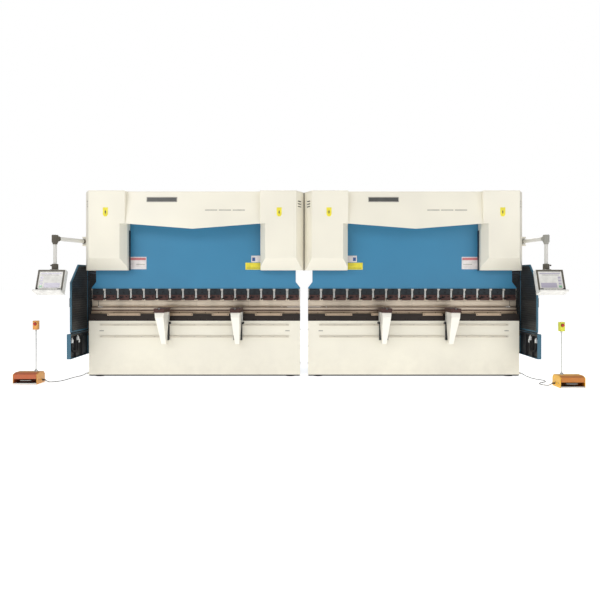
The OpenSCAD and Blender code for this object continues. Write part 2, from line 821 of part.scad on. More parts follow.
module gauge_beam(side) color([0.70, 0.71, 0.72]) at_machine(side) difference() {
    union() {
        block([-frame_in + 20, gauge_rest - beam_d / 2, beam_z],
            [frame_in - 20, gauge_rest + beam_d / 2, beam_top]);
        block([-runway_mid + post_d, gauge_rest - finger_rail[0] / 2, beam_top],
            [runway_mid - post_d, gauge_rest + finger_rail[0] / 2, finger_z]);
    }
    both_ends() rod(runway_mid, gauge_rest, beam_z - eps, beam_top + eps, post_d + 2 * run_fit);
}

// A gauge finger at the given place along its beam.
module gauge_finger(side, x) color([0.80, 0.81, 0.82]) at_machine(side) translate([x, 0, 0]) {
    difference() {
        block([-finger_w / 2, gauge_rest - beam_d / 2 - 10, beam_top + slide_fit],
            [finger_w / 2, gauge_rest + beam_d / 2 + 10, finger_z + 55]);
        block([-finger_w / 2 - eps, gauge_rest - finger_rail[0] / 2 - slide_fit, beam_top],
            [finger_w / 2 + eps, gauge_rest + finger_rail[0] / 2 + slide_fit, finger_z + slide_fit]);
    }
    block([-nose_w / 2, nose_tip + 60, finger_z + 8],
        [nose_w / 2, gauge_rest - beam_d / 2 - 10, finger_z + 43]);
    block([-nose_w / 2, nose_tip, finger_z], [nose_w / 2, nose_tip + 60, finger_z + 30]);
}

// ---------------------------------------------------------------- sheet supports

module support_rails() color([0.55, 0.56, 0.56]) for (side = [-1, 1], z = support_rail_z) at_machine(side)
    along_x(bend_len - 2 * support_rail_inset)
        area([-apron_front - support_rail_d, z - support_rail_h / 2], [-apron_front, z + support_rail_h / 2]);

// A sliding support arm at the given place along its rails.
module support_arm(side, x) color([0.90, 0.89, 0.86]) at_machine(side) translate([x, 0, 0]) {
    back = -apron_front - support_rail_d - 35;
    arm_top = die_top;
    low_rail = support_rail_z[0] - 50;
    high_rail = support_rail_z[1] + 50;
    difference() {
        block([-slide_w / 2, back, low_rail], [slide_w / 2, -apron_front - 2, high_rail]);
        for (z = support_rail_z)
            block([-slide_w, -apron_front - support_rail_d - slide_fit, z - support_rail_h / 2 - slide_fit],
                [slide_w, 0, z + support_rail_h / 2 + slide_fit]);
    }
    block([-arm_w / 2, -arm_reach, arm_top - arm_h], [arm_w / 2, -apron_front - 5, arm_top]);
    intersection() {
        along_x(arm_w) polygon([
            [-arm_reach + 20, arm_top - arm_h], [-arm_reach + 20, arm_top - arm_h - 70],
            [back - 70, arm_foot], [back, arm_foot], [back, arm_top - arm_h]
        ]);
        along_y(-arm_reach, 0) polygon([
            [-arm_w / 2 + 8, arm_top - arm_h], [-arm_foot_w / 2, arm_foot], [arm_foot_w / 2, arm_foot],
            [arm_w / 2 - 8, arm_top - arm_h]
        ]);
    }
}

// ---------------------------------------------------------------- side guards

module guard_frame(side) color([0.18, 0.18, 0.18]) at_outer_end(side) {
    bar = 30;
    rear = throat_back + 60;
    box_top = guard_box_z[1];
    upper_bar = door_top - 110;
    panel = hinge_y + hinge_d / 2 + barrel_wall + 10;
    block([guard_x - 20, -guard_box_front, guard_box_z[0]], [guard_x + 40, hinge_y + 25, box_top]);
    block([frame_out, bed_back + 5, box_top - 80], [guard_x, bed_back + 5 + bar, box_top - 40]);
    rod(guard_x, hinge_y, box_top, door_top, hinge_d);
    block([guard_x - bar / 2, hinge_y, upper_bar], [guard_x + bar / 2, rear, upper_bar + 40]);
    block([frame_out, rear - bar, upper_bar], [guard_x + bar / 2, rear, upper_bar + 40]);
    block([guard_x - 10, panel, box_top], [guard_x + 10, rear, upper_bar]);
    block([guard_x - 10, hinge_y, box_top + 320], [guard_x + 10, panel + 1, box_top + 360]);
    block([guard_x - 20, hinge_y, box_top - 40], [guard_x + 20, rear, box_top]);
}

module guard_door(side) color([0.13, 0.13, 0.13]) at_outer_end(side) difference() {
    edge = hinge_y - hinge_d / 2 - barrel_wall - 2;
    barrels = [guard_box_z[1] + 80, door_top - 240];
    union() {
        translate([guard_x, 0, 0]) along_x(guard_t) polygon([
            [edge, guard_box_z[1] + 20], [-door_front, guard_box_z[1] + 20], [-door_front, door_slant_z],
            [-door_front + door_slant_d, door_top], [edge, door_top]
        ]);
        for (z = barrels) {
            rod(guard_x, hinge_y, z, z + 80, hinge_d + 2 * barrel_wall);
            block([guard_x - 10, edge - 5, z], [guard_x + 10, hinge_y - hinge_d / 2 - 3, z + 80]);
        }
    }
    rod(guard_x, hinge_y, 0, door_top + eps, hinge_d + 2 * run_fit);
}

// ---------------------------------------------------------------- control pendants

// Turns its children to the rest direction of a pendant arm, with the hinge at their origin.
module on_boom(side) {
    yaw = boom_yaw[side < 0 ? 0 : 1];
    at_outer_end(side) translate([boom_x, boom_y, 0]) rotate([0, 0, yaw]) children();
}

module boom(side) color([0.62, 0.61, 0.58]) on_boom(side) {
    hub = boom_hub_h / 2 - slide_fit;
    difference() {
        union() {
            rod(0, 0, boom_z - hub, boom_z + hub, boom_d + 6);
            translate([0, -boom_d / 2, boom_z])
                rotate([90, 0, 0]) cylinder(h = boom_len - boom_d / 2, d = boom_d);
        }
        rod(0, 0, boom_z - hub - eps, boom_z + hub + eps, boom_pin_d + 2 * run_fit);
    }
    rod(0, -boom_len, boom_z - boom_d / 2 - 30, boom_z + boom_d / 2 + 20, boom_d + 30);
    rod(0, -boom_len, drop_foot, boom_z, drop_d);
    rod(0, -boom_len, drop_foot, drop_foot + 12, drop_d + 14);
}

// The pendant hangs from a collar that turns on the drop tube.
module pendant(side) color([0.20, 0.18, 0.16]) on_boom(side) translate([0, -boom_len, 0]) {
    yaw = boom_yaw[side < 0 ? 0 : 1];
    collar_z = drop_foot + 12 + slide_fit;
    difference() {
        rod(0, 0, drop_foot - 40, collar_z + 34, drop_d + 40);
        rod(0, 0, drop_foot - slide_fit, collar_z, drop_d + 16);
        rod(0, 0, collar_z - eps, collar_z + 35, drop_d + 2 * run_fit);
    }
    rotate([0, 0, -yaw]) {
        block([-40, -90, drop_foot - 80], [40, 40, drop_foot - 30]);
        translate([0, -60, drop_foot - 50]) rotate([-pendant_tilt, 0, 0]) {
            block([-pendant_w / 2, -pendant_t / 2, -pendant_h], [pendant_w / 2, pendant_t / 2, 0]);
            block([-pendant_w / 2, -ledge_d - 10, -pendant_h - 30],
                [pendant_w / 2, pendant_t / 2, -pendant_h]);
        }
    }
}

// ---------------------------------------------------------------- foot switches

// Places its children at a foot switch, mirrored for the left machine.
module at_pedal(side) {
    i = side < 0 ? 0 : 1;
    at_outer_end(side) translate([hood_half + pedal_out[i], -pedal_front[i], 0]) children();
}

module foot_switch(side) color([0.80, 0.58, 0.20]) at_pedal(side) difference() {
    front = -pedal_d / 2;
    along_x(pedal_w) polygon([
        [front, 0], [pedal_d / 2, 0], [pedal_d / 2, pedal_h - 40], [pedal_d / 2 - 40, pedal_h],
        [front + 65, pedal_h], [front, pedal_h - 20]
    ]);
    along_x(pedal_w - 2 * pedal_wall) polygon([
        [front - eps, pedal_floor], [pedal_d / 2 - 60, pedal_floor], [pedal_d / 2 - 60, pedal_h - pedal_wall],
        [front + 65, pedal_h - pedal_wall], [front - eps, pedal_h - pedal_wall - 20]
    ]);
    translate([0, axle_y, axle_z])
        rotate([0, 90, 0]) cylinder(h = pedal_w + 2 * eps, d = axle_d + 2 * run_fit, center = true);
}

module treadle(side) color([0.16, 0.16, 0.17]) at_pedal(side) translate([0, axle_y, axle_z]) {
    rotate([0, 90, 0]) cylinder(h = pedal_w - 4, d = axle_d, center = true);
    rotate([-treadle_rise, 0, 0])
        block([-treadle_w / 2, -axle_y - pedal_d / 2 + 25, -treadle_t / 2],
            [treadle_w / 2, axle_d, treadle_t / 2]);
}

module stop_stand(side) color([0.86, 0.66, 0.34]) at_pedal(side) translate([-stand_shift, stop_y, 0]) {
    box_foot = stop_top - stop_box[2];
    rod(0, 0, pedal_h, box_foot, pole_d);
    rod(0, 0, pedal_h, pedal_h + 8, 3 * pole_d);
    difference() {
        block([-stop_box[0] / 2, -stop_box[1] / 2, box_foot], [stop_box[0] / 2, stop_box[1] / 2, stop_top]);
        translate([0, -stop_box[1] / 2 - eps, stop_button_z])
            rotate([-90, 0, 0]) cylinder(h = 30 + eps, d = stem_d + 2 * run_fit);
    }
}

module stop_button(side) color([0.75, 0.10, 0.08]) at_pedal(side)
    translate([-stand_shift, stop_y - stop_box[1] / 2, stop_button_z]) rotate([90, 0, 0]) {
        translate([0, 0, -22]) cylinder(h = 22 + button_travel + 2, d = stem_d);
        translate([0, 0, button_travel + 2]) cylinder(h = 14, d = button_d);
    }

// ---------------------------------------------------------------- cables

function unit(v) = v / norm(v);

// Direction of a route at one of its points.
function heading(route, i) = unit(route[min(i + 1, len(route) - 1)] - route[max(i - 1, 0)]);

// Ring of points square to the route at one of its points.
function ring(route, i, d) =
    let (ahead = heading(route, i), aside = unit(cross(ahead, [0, 0, 1])), above = cross(aside, ahead))
    [for (k = [0 : cable_sides - 1])
        route[i] + d / 2 * (cos(360 * k / cable_sides) * aside + sin(360 * k / cable_sides) * above)];

module tube(route, d) {
    last = len(route) - 1;
    points = [for (i = [0 : last]) each ring(route, i, d)];
    walls = [for (i = [0 : last - 1], k = [0 : cable_sides - 1])
        let (a = i * cable_sides + k, b = i * cable_sides + (k + 1) % cable_sides)
        each [[a, a + cable_sides, b], [b, a + cable_sides, b + cable_sides]]];
    start = [[for (k = [0 : cable_sides - 1]) k]];
    end = [[for (k = [cable_sides - 1 : -1 : 0]) last * cable_sides + k]];
    polyhedron(concat([for (p = points) p]), concat(start, walls, end));
}

module cable(route) color([0.35, 0.35, 0.35]) tube(route, cable_d);

// ---------------------------------------------------------------- nodes

side_frames(-1);  // left_side_frames
bed(-1);  // left_bed
table(-1);  // left_table
die(-1);  // left_die
centre_panel(-1);  // left_centre_panel
column_covers(-1);  // left_column_covers
cylinders(-1);  // left_cylinders
oil_tank(-1);  // left_oil_tank
ram(-1);  // left_ram
piston_rods(-1);  // left_piston_rods
clamps(-1);  // left_clamps
punch(-1);  // left_punch
gauge_carriage(-1);  // left_gauge_carriage
gauge_beam(-1);  // left_gauge_beam
gauge_finger(-1, -finger_x);  // left_finger_a
gauge_finger(-1, finger_x);  // left_finger_b
support_arm(-1, arm_x_left[0]);  // left_support_arm_a
support_arm(-1, arm_x_left[1]);  // left_support_arm_b
boom(-1);  // left_boom
pendant(-1);  // left_pendant
guard_frame(-1);  // left_guard_frame
guard_door(-1);  // left_guard_door
foot_switch(-1);  // left_foot_switch
treadle(-1);  // left_treadle
stop_stand(-1);  // left_stop_stand
stop_button(-1);  // left_stop_button
cable(left_route);  // left_cable
side_frames(1);  // right_side_frames
bed(1);  // right_bed
table(1);  // right_table
die(1);  // right_die
centre_panel(1);  // right_centre_panel
column_covers(1);  // right_column_covers
cylinders(1);  // right_cylinders
oil_tank(1);  // right_oil_tank
ram(1);  // right_ram
piston_rods(1);  // right_piston_rods
clamps(1);  // right_clamps
punch(1);  // right_punch
gauge_carriage(1);  // right_gauge_carriage
gauge_beam(1);  // right_gauge_beam
gauge_finger(1, -finger_x);  // right_finger_a
gauge_finger(1, finger_x);  // right_finger_b
support_arm(1, arm_x_right[0]);  // right_support_arm_a
support_arm(1, arm_x_right[1]);  // right_support_arm_b
boom(1);  // right_boom
pendant(1);  // right_pendant
guard_frame(1);  // right_guard_frame
guard_door(1);  // right_guard_door
foot_switch(1);  // right_foot_switch
treadle(1);  // right_treadle
stop_stand(1);  // right_stop_stand
stop_button(1);  // right_stop_button
cable(right_route);  // right_cable
levelling_feet();
gauge_runways();
support_rails();
top_covers();
pump_motors();
cabinets();
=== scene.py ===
"""Looks of a tandem pair of press brakes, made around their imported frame.

Metres, in the frame's own axes: X runs along the bending line, -Y is the
operator's side and +Z is up. What belongs to one machine is made around that
machine's middle and then moved to its place in the line.
"""

import json
import logging
import math
from collections.abc import Iterable, Sequence
from dataclasses import dataclass, field
from enum import Enum

import bmesh
import bpy
from mathutils import Matrix, Vector

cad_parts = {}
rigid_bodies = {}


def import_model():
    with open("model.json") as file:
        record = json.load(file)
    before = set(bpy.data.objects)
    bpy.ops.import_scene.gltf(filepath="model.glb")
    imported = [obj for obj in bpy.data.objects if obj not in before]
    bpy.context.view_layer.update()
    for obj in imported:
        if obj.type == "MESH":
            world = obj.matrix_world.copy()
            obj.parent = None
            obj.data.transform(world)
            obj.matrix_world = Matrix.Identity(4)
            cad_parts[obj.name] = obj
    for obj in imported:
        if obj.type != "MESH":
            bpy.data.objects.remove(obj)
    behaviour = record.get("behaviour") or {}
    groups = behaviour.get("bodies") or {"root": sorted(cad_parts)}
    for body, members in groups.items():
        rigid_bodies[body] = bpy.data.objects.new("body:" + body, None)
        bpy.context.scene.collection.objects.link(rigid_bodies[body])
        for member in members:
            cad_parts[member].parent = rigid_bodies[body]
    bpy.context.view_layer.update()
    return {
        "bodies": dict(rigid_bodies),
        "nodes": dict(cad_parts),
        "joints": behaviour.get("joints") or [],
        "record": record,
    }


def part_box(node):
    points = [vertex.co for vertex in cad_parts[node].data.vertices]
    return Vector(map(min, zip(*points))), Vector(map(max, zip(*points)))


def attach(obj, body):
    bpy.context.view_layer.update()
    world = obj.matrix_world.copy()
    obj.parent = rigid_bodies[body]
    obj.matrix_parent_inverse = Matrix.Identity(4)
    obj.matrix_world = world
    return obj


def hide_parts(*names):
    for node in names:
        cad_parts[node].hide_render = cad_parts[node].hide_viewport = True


log = logging.getLogger("press_brakes")

Socket = bpy.types.NodeSocket
Material = bpy.types.Material
Point = tuple[float, float, float]
Flat = tuple[float, float]
Area = tuple[float, float, float, float]
Colour = tuple[int, int, int]

PITCH_HALF = 1.66  # from the middle of the line to a machine's middle
HALF_LEN = 1.6  # half of one machine's bending length
HOOD_HALF = 1.652  # half of one machine's hood
FRAME_OUT = 1.37  # outer face of a side frame, from the machine's middle
CYLINDER_X = 1.34  # middle of a cylinder, from the machine's middle
RAILS_Z: Flat = (0.603, 0.781)  # heights of the two rails on the bed
TABLE_TOP = 0.93  # top of the crowning bar
DIE_TOP = 1.045  # top of the die
TONGUE_HALF = 0.0068  # half of the slots that hold the punch and the die
COVER_FOOT = 1.606  # lower edge of the hood's covers
SMOOTH_BELOW = math.radians(50)  # faces that meet at less than this shade as one
SHARP_ABOVE = math.radians(28)  # edges of a CAD node that are rounded
FLAT_BELOW = math.radians(0.4)  # faces of a CAD node that are joined into one
SAME_SPOT = 1e-6  # points closer than this are one
SENSOR = 36.0  # width of the camera's sensor in millimetres
SLAT_TILT = Matrix.Rotation(math.radians(-35), 4, "X")  # lean of a louvre's slats
ENDS = (-1, 1)  # the two ends of a machine, as signs of X
UP: Point = (0, 0, 1)
DOWN: Point = (0, 0, -1)
AHEAD: Point = (0, -1, 0)  # towards the operator
BEHIND: Point = (0, 1, 0)


class Side(Enum):
    """Which machine of the pair, as the sign of its X."""

    LEFT = -1
    RIGHT = 1

    @property
    def tag(self) -> str:
        """Name of the machine in its nodes and bodies."""
        return self.name.lower()

    @property
    def middle(self) -> Matrix:
        """Place of the machine's own middle in the line."""
        return Matrix.Translation((self.value * PITCH_HALF, 0, 0))

    @property
    def outer_end(self) -> Matrix:
        """Place of what is given outward from the machine's middle."""
        mirrored = Matrix.Scale(self.value, 4, (1, 0, 0))
        return mirrored @ Matrix.Translation((PITCH_HALF, 0, 0))


class Axis(Enum):
    """An axis of the frame, as its place in a point."""

    X = 0
    Y = 1
    Z = 2

    def point(self, first: float, second: float, along: float) -> Vector:
        """Put a flat profile's point into space.

        Args:
            first: The lower-named of the two other coordinates.
            second: The higher-named of the two other coordinates.
            along: The coordinate on this axis.

        Returns:
            The point in space.
        """
        values = [first, second]
        values.insert(self.value, along)
        return Vector(values)


class Head(Enum):
    """Heads that the machine's screws have."""

    HEX = "hex"
    SOCKET = "socket"


# ------------------------------------------------------------------ finishes


def linear(colour: Colour) -> tuple[float, float, float, float]:
    """Turn screen values into linear light.

    Args:
        colour: Red, green and blue from 0 to 255.

    Returns:
        The colour as a shader socket takes it.
    """
    parts = [c / 255 for c in colour]
    light = [p / 12.92 if p <= 0.04045 else ((p + 0.055) / 1.055) ** 2.4 for p in parts]
    return (light[0], light[1], light[2], 1.0)


def shade(colour: Colour, factor: float) -> Colour:
    """Lighten or darken a colour.

    Args:
        colour: The colour to start from.
        factor: What each part is multiplied by.

    Returns:
        The new colour, held within 0 to 255.
    """
    red, green, blue = (max(0, min(255, round(c * factor))) for c in colour)
    return (red, green, blue)


class Recipe:
    """Short calls for one material's nodes, with patterns on Object coordinates."""

    def __init__(self, name: str) -> None:
        """Start a material.

        Args:
            name: The material's name.
        """
        self.material = bpy.data.materials.new(name)
        self.material.use_nodes = True
        self.tree = self.material.node_tree
        self.shader = self.tree.nodes["Principled BSDF"]
        self.coordinates = self.node("ShaderNodeTexCoord").outputs["Object"]

    def node(self, kind: str, **settings: object) -> bpy.types.Node:
        """Add a node.

        Args:
            kind: The node's type.
            **settings: Properties to set on it.

        Returns:
            The new node.
        """
        made = self.tree.nodes.new(kind)
        for name, value in settings.items():
            setattr(made, name, value)
        return made

    def join(self, source: Socket, target: Socket) -> None:
        """Link two sockets."""
        self.tree.links.new(source, target)

    def constant(self, **values: float) -> None:
        """Set fixed numbers on the shader's own sockets, by their names."""
        for name, value in values.items():
            self.shader.inputs[name.replace("_", " ")].default_value = value

    def noise(self, scale: float, detail: float = 3.0, stretch: Point = (1, 1, 1)) -> Socket:
        """Add a cloudy pattern.

        Args:
            scale: How many features go to a metre, roughly.
            detail: How many finer layers it has.
            stretch: Scale of the pattern on each axis; a low one draws it out.

        Returns:
            The pattern's value.
        """
        mapping = self.node("ShaderNodeMapping")
        mapping.inputs["Scale"].default_value = stretch
        self.join(self.coordinates, mapping.inputs["Vector"])
        made = self.node("ShaderNodeTexNoise")
        made.inputs["Scale"].default_value = scale
        made.inputs["Detail"].default_value = detail
        self.join(mapping.outputs["Vector"], made.inputs["Vector"])
        return made.outputs["Fac"]

    def height(self, low: float, high: float) -> Socket:
        """Add a value that falls from 1 at a low height to 0 at a high one.

        Args:
            low: Height where it is 1.
            high: Height where it is 0.

        Returns:
            The value.
        """
        parts = self.node("ShaderNodeSeparateXYZ")
        self.join(self.coordinates, parts.inputs["Vector"])
        return self.span(parts.outputs["Z"], (low, high), (1.0, 0.0))

    def span(self, value: Socket, come: Flat, go: Flat) -> Socket:
        """Spread a value from one range onto another.

        Args:
            value: The value to spread.
            come: The range that it comes from.
            go: The range that it goes to.

        Returns:
            The new value.
        """
        made = self.node("ShaderNodeMapRange")
        self.join(value, made.inputs["Value"])
        for socket, number in zip(("From Min", "From Max", "To Min", "To Max"), (*come, *go)):
            made.inputs[socket].default_value = number
        return made.outputs["Result"]

    def product(self, first: Socket, second: Socket) -> Socket:
        """Multiply two values.

        Args:
            first: One value.
            second: The other value.

        Returns:
            Their product.
        """
        made = self.node("ShaderNodeMath", operation="MULTIPLY")
        self.join(first, made.inputs[0])
        self.join(second, made.inputs[1])
        return made.outputs["Value"]

    def tones(self, value: Socket, stops: Sequence[tuple[float, Colour]]) -> Socket:
        """Colour a value by a ramp.

        Args:
            value: The value to colour.
            stops: Places on the ramp, each with its colour.

        Returns:
            The colour.
        """
        made = self.node("ShaderNodeValToRGB")
        ramp = made.color_ramp
        while len(ramp.elements) < len(stops):
            ramp.elements.new(0.5)
        for element, (place, colour) in zip(ramp.elements, stops):
            element.position = place
            element.color = linear(colour)
        self.join(value, made.inputs["Fac"])
        return made.outputs["Color"]

    def cover(self, base: Socket, colour: Colour, amount: Socket) -> Socket:
        """Lay one colour over another.

        Args:
            base: The colour below.
            colour: The colour laid on it.
            amount: How much of it shows.

        Returns:
            The mixed colour.
        """
        made = self.node("ShaderNodeMix", data_type="RGBA")
        self.join(amount, made.inputs[0])
        self.join(base, made.inputs[6])
        made.inputs[7].default_value = linear(colour)
        return made.outputs[2]

    def bumps(self, height: Socket, strength: float, depth: float) -> None:
        """Give the surface a relief.

        Args:
            height: The pattern that rises and falls.
            strength: How much of it shows.
            depth: How deep it is in metres.
        """
        made = self.node("ShaderNodeBump")
        made.inputs["Strength"].default_value = strength
        made.inputs["Distance"].default_value = depth
        self.join(height, made.inputs["Height"])
        self.join(made.outputs["Normal"], self.shader.inputs["Normal"])

    def finish(self, colour: Socket, roughness: Socket) -> Material:
        """Join the colour and the roughness to the shader.

        Args:
            colour: The surface's colour.
            roughness: The surface's roughness.

        Returns:
            The finished material.
        """
        self.join(colour, self.shader.inputs["Base Color"])
        self.join(roughness, self.shader.inputs["Roughness"])
        return self.material


@dataclass(frozen=True)
class Finish:
    """What a piece is coated with or made of.

    Attributes:
        name: Name of its material.
        slot: The record's material slot that it comes from, if any. It is not used.
        colour: Its colour from 0 to 255.
    """

    name: str
    slot: str | None
    colour: Colour

    def mix(self, recipe: Recipe) -> Material:
        """Lay down the finish's nodes; each kind of finish has its own."""
        raise NotImplementedError

    def material(self) -> Material:
        """Give the finish's material, made the first time it is asked for.

        Returns:
            The material.
        """
        return bpy.data.materials.get(self.name) or self.mix(Recipe(self.name))


@dataclass(frozen=True)
class Paint(Finish):
    """Sprayed machine enamel: slight drift in tone, orange peel, dust near the floor.

    Attributes:
        gloss: Roughness of the enamel.
        peel: Strength of the orange peel.
        dust: How much dust gathers near the floor.
    """

    gloss: float = 0.36
    peel: float = 0.1
    dust: float = 0.1

    def mix(self, recipe: Recipe) -> Material:
        """Lay down enamel.

        Args:
            recipe: The material's nodes.

        Returns:
            The finished material.
        """
        drift = recipe.noise(1.1, 2.0)
        colour = recipe.tones(drift, [(0.3, shade(self.colour, 0.975)), (0.7, shade(self.colour, 1.02))])
        specks = recipe.span(recipe.noise(230, 1.0), (0.7, 0.8), (0.0, 0.18))
        colour = recipe.cover(colour, shade(self.colour, 0.72), specks)
        near_floor = recipe.product(
            recipe.height(0.02, 0.55), recipe.span(recipe.noise(9, 5), (0.35, 0.75), (0.0, self.dust)),
        )
        colour = recipe.cover(colour, (150, 142, 128), near_floor)
        roughness = recipe.span(recipe.noise(7, 4), (0.3, 0.7), (self.gloss - 0.05, self.gloss + 0.08))
        recipe.bumps(recipe.noise(420, 2.0), self.peel, 0.0006)
        recipe.constant(Coat_Weight=0.22, Coat_Roughness=0.16)
        return recipe.finish(colour, roughness)


class Grain(Enum):
    """The way that a steel surface was ground, as the stretch of its marks."""

    ALONG_X = (0.02, 1.0, 1.0)
    ALONG_Y = (1.0, 0.02, 1.0)
    ALONG_Z = (1.0, 1.0, 0.02)
    CAST = (1.0, 1.0, 1.0)


@dataclass(frozen=True)
class Steel(Finish):
    """Bare, ground or blackened steel with grinding marks and oil marks.

    Attributes:
        grain: Direction of the grinding marks.
        gloss: Roughness between the marks.
        metal: How metallic it is; blackened steel is less so.
        stain: How much darker the oil marks are.
    """

    grain: Grain = Grain.ALONG_X
    gloss: float = 0.3
    metal: float = 1.0
    stain: float = 0.25

    def mix(self, recipe: Recipe) -> Material:
        """Lay down worked steel.

        Args:
            recipe: The material's nodes.

        Returns:
            The finished material.
        """
        marks = recipe.noise(900, 2.0, self.grain.value)
        colour = recipe.tones(marks, [(0.35, shade(self.colour, 0.97)), (0.65, shade(self.colour, 1.02))])
        spread = (1.0, 0.1, 0.1) if self.grain is Grain.ALONG_X else (1.0, 1.0, 1.0)
        oil = recipe.span(recipe.noise(2.6, 3.0, spread), (0.42, 0.66), (0.0, self.stain))
        colour = recipe.cover(colour, shade(self.colour, 0.45), oil)
        roughness = recipe.span(marks, (0.3, 0.7), (self.gloss - 0.02, self.gloss + 0.05))
        recipe.bumps(marks, 0.05, 0.0004)
        recipe.constant(Metallic=self.metal)
        return recipe.finish(colour, roughness)


@dataclass(frozen=True)
class Moulded(Finish):
    """Moulded plastic or rubber with a fine spark-eroded grain.

    Attributes:
        gloss: Roughness of the skin.
        grain: Strength of the grain.
        sheen: Clear coat over it, as on a screen or a lens.
    """

    gloss: float = 0.48
    grain: float = 0.15
    sheen: float = 0.0

    def mix(self, recipe: Recipe) -> Material:
        """Lay down a moulded skin.

        Args:
            recipe: The material's nodes.

        Returns:
            The finished material.
        """
        colour = recipe.tones(
            recipe.noise(14, 4), [(0.3, shade(self.colour, 0.93)), (0.7, shade(self.colour, 1.04))],
        )
        scuffs = recipe.span(recipe.noise(55, 6), (0.62, 0.74), (0.0, 0.22))
        colour = recipe.cover(colour, shade(self.colour, 0.7), scuffs)
        roughness = recipe.span(
            recipe.noise(40, 3), (0.3, 0.7), (max(0.05, self.gloss - 0.06), self.gloss + 0.08),
        )
        recipe.bumps(recipe.noise(900, 2), self.grain, 0.0003)
        if self.sheen:
            recipe.constant(Coat_Weight=self.sheen, Coat_Roughness=0.04)
        return recipe.finish(colour, roughness)


@dataclass(frozen=True)
class Glow(Finish):
    """A lit display behind glass.

    Attributes:
        light: How strongly it shines.
    """

    light: float = 0.35

    def mix(self, recipe: Recipe) -> Material:
        """Lay down a lit display.

        Args:
            recipe: The material's nodes.

        Returns:
            The finished material.
        """
        colour = recipe.tones(recipe.noise(3, 1), [(0.3, shade(self.colour, 0.96)), (0.7, self.colour)])
        recipe.join(colour, recipe.shader.inputs["Emission Color"])
        recipe.constant(Emission_Strength=self.light, Coat_Weight=0.8, Coat_Roughness=0.05)
        return recipe.finish(colour, recipe.span(recipe.noise(30, 2), (0.3, 0.7), (0.16, 0.24)))


CREAM = Paint("cream_enamel", "cream_paint", (238, 233, 217))
BLUE = Paint("blue_enamel", "blue_paint", (56, 132, 172), gloss=0.42)
# The frames' blue is the ram's blue darkened: blue paint with painted shade of the throat in it.
FRAME_BLUE_SHADED = Paint("frame_enamel", "frame_paint", (44, 96, 132), gloss=0.45)
TANK_GREY = Paint("tank_enamel", "tank_paint", (96, 104, 112))
MOTOR_GREY = Paint("motor_enamel", "motor_paint", (122, 134, 146))
CYLINDER_GREY = Paint("cylinder_enamel", "cylinder_paint", (66, 70, 76), gloss=0.4)
CARRIAGE_GREY = Paint("carriage_enamel", "carriage_paint", (62, 66, 72))
ARM_WHITE = Paint("arm_enamel", "arm_paint", (240, 236, 225))
GUARD_BLUE = Paint("guard_enamel", "guard_black", (56, 104, 126), gloss=0.4)
GUARD_BLACK = Paint("guard_lattice", "guard_black", (20, 21, 24), gloss=0.62)
GUARD_HOLES = Paint("guard_back_sheet", "guard_black", (92, 99, 97), gloss=0.6)
# Painted shade: the near-black colour of the strips on the hood covers' inner walls, which stand for the
# shaded gap between cover and ram.
COVER_GAP_SHADE = Paint("cover_edge_seal", "guard_black", (36, 42, 50), gloss=0.6)
BOOM_LIGHT = Paint("boom_enamel", "boom_grey", (214, 212, 206), gloss=0.34)
TABLE_DARK = Steel("crown_bar_steel", "table_steel", (46, 38, 34), gloss=0.44, metal=0.5)
RAIL_BRONZE = Steel("die_rail_steel", "die_steel", (190, 168, 144), gloss=0.38, stain=0.25)
DIE_STEEL = Steel("die_steel_ground", "die_steel", (206, 190, 170), gloss=0.36)
PUNCH_STEEL = Steel("punch_steel_ground", "punch_steel", (218, 203, 184), gloss=0.4, stain=0.3)
CLAMP_BLUEBLACK = Steel("clamp_head_steel", "clamp_steel", (46, 52, 56), gloss=0.36, metal=0.6)
CLAMP_BROWN = Steel("clamp_plate_steel", "clamp_steel", (84, 58, 54), gloss=0.42, metal=0.5)
BRIGHT = Steel("bright_steel", "gauge_steel", (206, 206, 202), gloss=0.26)
BRIGHT_Y = Steel("bright_steel_along_y", "gauge_steel", (206, 206, 202), grain=Grain.ALONG_Y, gloss=0.26)
CHROME = Steel("rod_chrome_plate", "rod_chrome", (222, 224, 226), grain=Grain.ALONG_Z, gloss=0.12, stain=0.08)
GUIDE_STEEL = Steel("guide_rail_steel", "rail_steel", (206, 202, 194), gloss=0.34)
RAIL_PALE = Steel("support_rail_steel", "rail_steel", (214, 206, 190), gloss=0.42, metal=0.35, stain=0.15)
ZINC = Steel("zinc_plate", "clamp_steel", (176, 178, 176), grain=Grain.CAST, gloss=0.36)
BLACK_SCREW = Steel("blackened_screw", "clamp_steel", (40, 40, 42), grain=Grain.CAST, gloss=0.42, metal=0.7)
BRASS = Steel("guide_bronze", "clamp_steel", (184, 142, 84), grain=Grain.ALONG_Z, gloss=0.33)
BLACK_PLASTIC = Moulded("black_plastic", "guard_black", (26, 26, 28))
RUBBER = Moulded("black_rubber", "foot_rubber", (34, 34, 35), gloss=0.72, grain=0.35)
TREADLE_RUBBER = Moulded("treadle_rubber_pad", "treadle_rubber", (44, 42, 42), gloss=0.66, grain=0.35)
CASE_TAUPE = Moulded("pendant_case_plastic", "pendant_case", (86, 80, 68), gloss=0.42)
CASE_PALE = Moulded("pendant_ledge_plastic", "pendant_case", (226, 224, 218), gloss=0.4)
CABLE_GREY = Moulded("cable_sheath", "cable_grey", (128, 128, 126), gloss=0.55, grain=0.08)
WHITE_PLASTIC = Moulded("white_connector", None, (226, 228, 228), gloss=0.38, sheen=0.2)
STOP_RED = Moulded("stop_red_plastic", "button_red", (190, 34, 26), gloss=0.32, sheen=0.4)
LABEL_YELLOW = Moulded("label_yellow", None, (238, 224, 66), gloss=0.4, grain=0.03)
LABEL_WHITE = Moulded("label_white", None, (236, 228, 226), gloss=0.4, grain=0.03)
LABEL_RED = Moulded("label_red", None, (204, 124, 128), gloss=0.4, grain=0.03)
LABEL_BLUE = Moulded("label_blue", None, (56, 92, 150), gloss=0.4, grain=0.03)
LABEL_DARK = Moulded("label_dark", None, (72, 70, 58), gloss=0.4, grain=0.03)
JOINT_SEAL = Moulded("joint_seal_rubber", None, (108, 100, 88), gloss=0.6)
